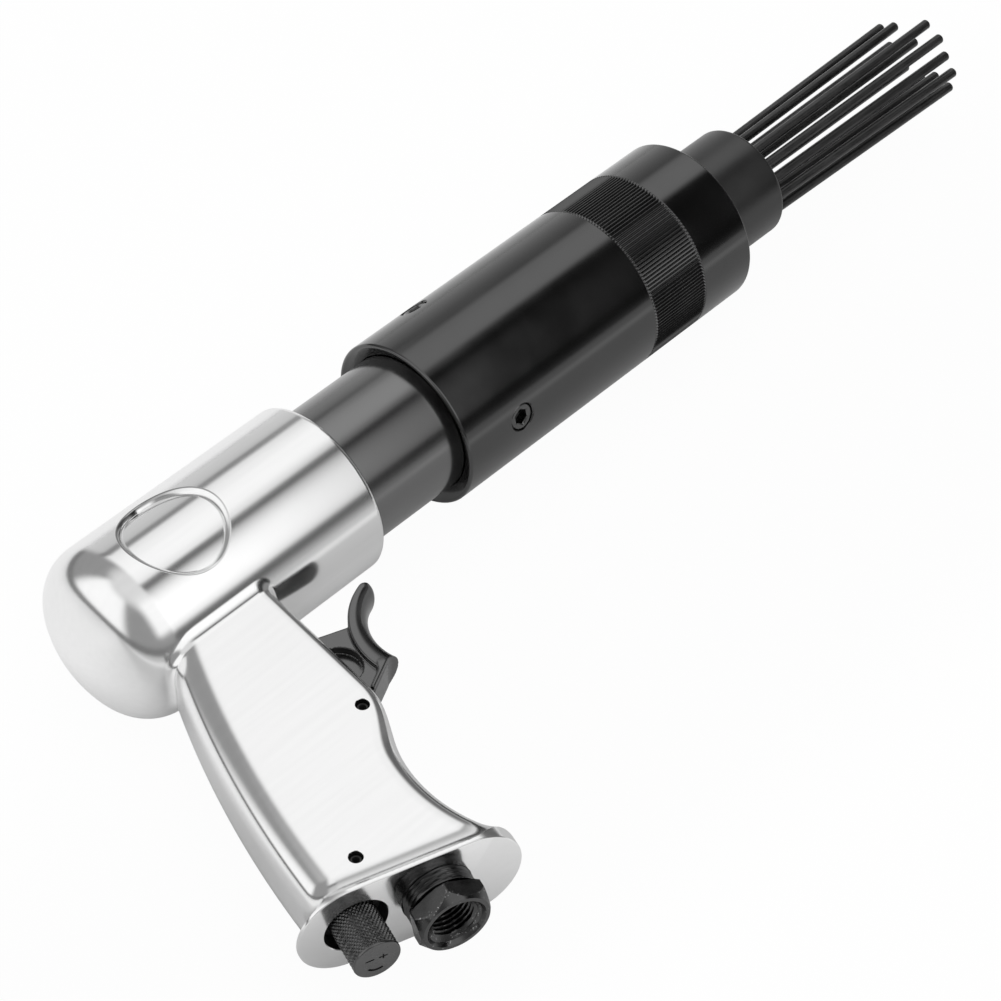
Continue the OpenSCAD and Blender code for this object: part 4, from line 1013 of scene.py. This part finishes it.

# Floor and the studio round it. Along the barrel the room is a set of long bands, given by their angle round
# the barrel's line from the +y side over the top; behind it stands one broad panel.
# the floor's darker tone beside the grip is painted shade
studio = {"floorSize": 14.0, "floorTone": 0.92, "cameraWhite": 0.965, "mirrorWhite": 0.35, "nearFloor": (0.30, 0.55),
          "nearShadeTone": 0.62, "toneFrom": (-0.01, 0.085), "footFrom": (-0.065, -0.115), "footTo": (-0.22, -0.15),
          "footTone": 0.93, "floorDrop": 0.0004,
          "castingBands": [(0, .64), (12, .61), (20, .58), (26.5, .56), (29, .22), (36, .17), (38.5, .88), (48, .95),
                           (60, 1.02), (72, 1.05), (80, 1.04), (86, 1.0), (92.5, .95), (95, .18), (101, .10),
                           (105, .46), (109, .75), (115, 1.0), (121, 1.15), (127, 1.22), (140, 1.25), (150, 1.2),
                           (158, 1.0), (161, .55), (163.5, .12), (170, .12), (176, .34), (180, .46)],
          "sleeveBands": [(0, .92), (12, .78), (24, .62), (31, .52), (42, .38), (49, .88), (60, .98), (75, 1.0),
                          (82, .95), (87, .30), (90, .05), (110, .025), (150, .035), (166, .03), (173, .05),
                          (180, .16)],
          "aheadBands": [(0, .48), (14, .42), (24, .14), (60, .12), (100, .25), (180, .25)],
          "bandsFrom": (0.20, 0.37), "sleeveFrom": (0.478, 0.506), "aheadFrom": (0.68, 0.84),
          "side": {"from": (0.56, 0.66), "to": (0.90, 0.84), "along": (-0.45, -0.12), "light": 1.05},
          "base": 0.30, "horizon": {"to": (5.0, 13.0), "light": 0.17},
          "panel": {"az": 157.0, "half": 35.0, "soft": 9.0, "low": (3.0, 10.0), "high": (76.0, 58.0), "light": 1.05},
          "top": {"from": (52.0, 74.0), "light": 0.75}, "fill": {"height": 2.0, "size": 2.0, "power": 14.0}}


def makeFloor():
    s = studio
    half = s["floorSize"] / 2
    mesh = bpy.data.meshes.new("studioFloor")
    mesh.from_pydata([(-half, -half, 0), (half, -half, 0), (half, half, 0), (-half, half, 0)], [], [(0, 1, 2, 3)])
    floor = newObject("studioFloor", mesh)
    floor.location.z = -s["floorDrop"]
    material = bpy.data.materials.new("paleFloor")
    tree = emptyTree(material)
    place = addNode(tree, "ShaderNodeTexCoord").outputs["Object"]
    y = addNode(tree, "ShaderNodeSeparateXYZ", {"Vector": place}).outputs["Y"]
    # painted shade: the floor's colour is darker beside the grip, paler beyond the tool and past the grip's foot
    beyond = fadeNode(tree, y, *s["toneFrom"], s["nearShadeTone"], s["floorTone"])
    foot = timesNode(tree, fadeNode(tree, y, *s["footFrom"]), fadeNode(tree, y, *s["footTo"]))
    foot = mathNode(tree, "MULTIPLY_ADD", foot, s["footTone"] - s["nearShadeTone"], s["nearShadeTone"])
    plain = addNode(tree, "ShaderNodeBsdfDiffuse", {"Color": mathNode(tree, "MAXIMUM", beyond, foot)})
    # white to the camera, and a painted pool of light, a glow that mirrors see on the floor near the tool
    away = addNode(tree, "ShaderNodeVectorMath", {0: place}, operation="LENGTH").outputs["Value"]
    near = fadeNode(tree, away, *s["nearFloor"][::-1], 0.0, s["mirrorWhite"])
    near = timesNode(tree, near, fadeNode(tree, y, *s["toneFrom"]))
    rays = addNode(tree, "ShaderNodeLightPath").outputs
    mirrored = mathNode(tree, "MAXIMUM", rays["Is Glossy Ray"], rays["Is Transmission Ray"])
    seen = mathNode(tree, "MULTIPLY_ADD", rays["Is Camera Ray"], s["cameraWhite"], timesNode(tree, mirrored, near))
    white = addNode(tree, "ShaderNodeEmission", {"Color": (1.0, 1.0, 1.0, 1.0)})
    mix = addNode(tree, "ShaderNodeMixShader", {"Fac": seen, 1: plain.outputs["BSDF"], 2: white.outputs["Emission"]})
    addNode(tree, "ShaderNodeOutputMaterial", {"Surface": mix.outputs["Shader"]})
    mesh.materials.append(material)


# Light by the angle round the barrel's line, as a share of half a turn
def bandsNode(tree, share, bands):
    node = addNode(tree, "ShaderNodeValToRGB", {"Fac": share})
    stops = node.color_ramp.elements
    stops.remove(stops[1])
    for i, (angle, light) in enumerate(bands):
        stop = stops[0] if i == 0 else stops.new(angle / 180.0)
        stop.color = (*grey(light * 0.5), 1.0)
    return timesNode(tree, node.outputs["Color"], 2.0)


def makeRoom():
    s, p = studio, studio["panel"]
    world = bpy.data.worlds.new("studioRoom")
    bpy.context.scene.world = world
    tree = emptyTree(world)
    way = addNode(tree, "ShaderNodeTexCoord").outputs["Generated"]
    split = addNode(tree, "ShaderNodeSeparateXYZ", {"Vector": way}).outputs
    x, y, z = split["X"], split["Y"], split["Z"]

    # fades over a height given as two angles above the floor
    def rise(pair):
        return fadeNode(tree, z, *[math.sin(math.radians(e)) for e in pair])

    share = mathNode(tree, "DIVIDE", mathNode(tree, "ARCTAN2", mathNode(tree, "MAXIMUM", z, 0.0), y), math.pi)
    overCasting, overSleeve, ahead = [bandsNode(tree, share, s[label])
                                      for label in ("castingBands", "sleeveBands", "aheadBands")]
    # the broad panel: near its azimuth, between two heights
    level = mathNode(tree, "SQRT", mathNode(tree, "SUBTRACT", 1.0, timesNode(tree, z, z)))
    level = mathNode(tree, "MAXIMUM", level, 0.001)
    a = math.radians(p["az"])
    toward = mathNode(tree, "MULTIPLY_ADD", x, math.cos(a), timesNode(tree, y, math.sin(a)))
    toward = mathNode(tree, "DIVIDE", toward, level)
    wide = fadeNode(tree, toward, *[math.cos(math.radians(p["half"] + e)) for e in (p["soft"], -p["soft"])])
    rear = mixNode(tree, timesNode(tree, wide, rise(p["low"]), rise(p["high"])), s["base"], p["light"])
    rear = mixNode(tree, rise(s["top"]["from"]), rear, s["top"]["light"])
    rear = mixNode(tree, rise(s["horizon"]["to"]), s["horizon"]["light"], rear)
    # the strip on the camera's side reaches past the bands to the rear
    side = s["side"]
    strip = timesNode(tree, fadeNode(tree, share, *side["from"]), fadeNode(tree, share, *side["to"]),
                      fadeNode(tree, x, *side["along"]))
    rear = mixNode(tree, strip, rear, side["light"])
    front = mixNode(tree, fadeNode(tree, x, *s["sleeveFrom"]), overCasting, overSleeve)
    front = mixNode(tree, fadeNode(tree, x, *s["aheadFrom"]), front, ahead)
    whole = mixNode(tree, fadeNode(tree, x, *s["bandsFrom"]), rear, front)
    # plain white to the camera itself
    whole = mixNode(tree, addNode(tree, "ShaderNodeLightPath").outputs["Is Camera Ray"], whole, 1.0)
    light = addNode(tree, "ShaderNodeBackground", {"Color": whole})
    addNode(tree, "ShaderNodeOutputWorld", {"Surface": light.outputs["Background"]})


# A broad lamp overhead that lights the floor and dull surfaces and stays out of the mirror-bright ones
def makeFill():
    f = studio["fill"]
    data = bpy.data.lights.new("fillLamp", "AREA")
    data.shape, data.size, data.energy = "SQUARE", f["size"], f["power"]
    lamp = newObject("fillLamp", data)
    lamp.location.z = f["height"]
    lamp.visible_glossy = False


makeFloor()
makeRoom()
makeFill()
bpy.context.scene.view_settings.view_transform = "Standard"
print("studio lit")
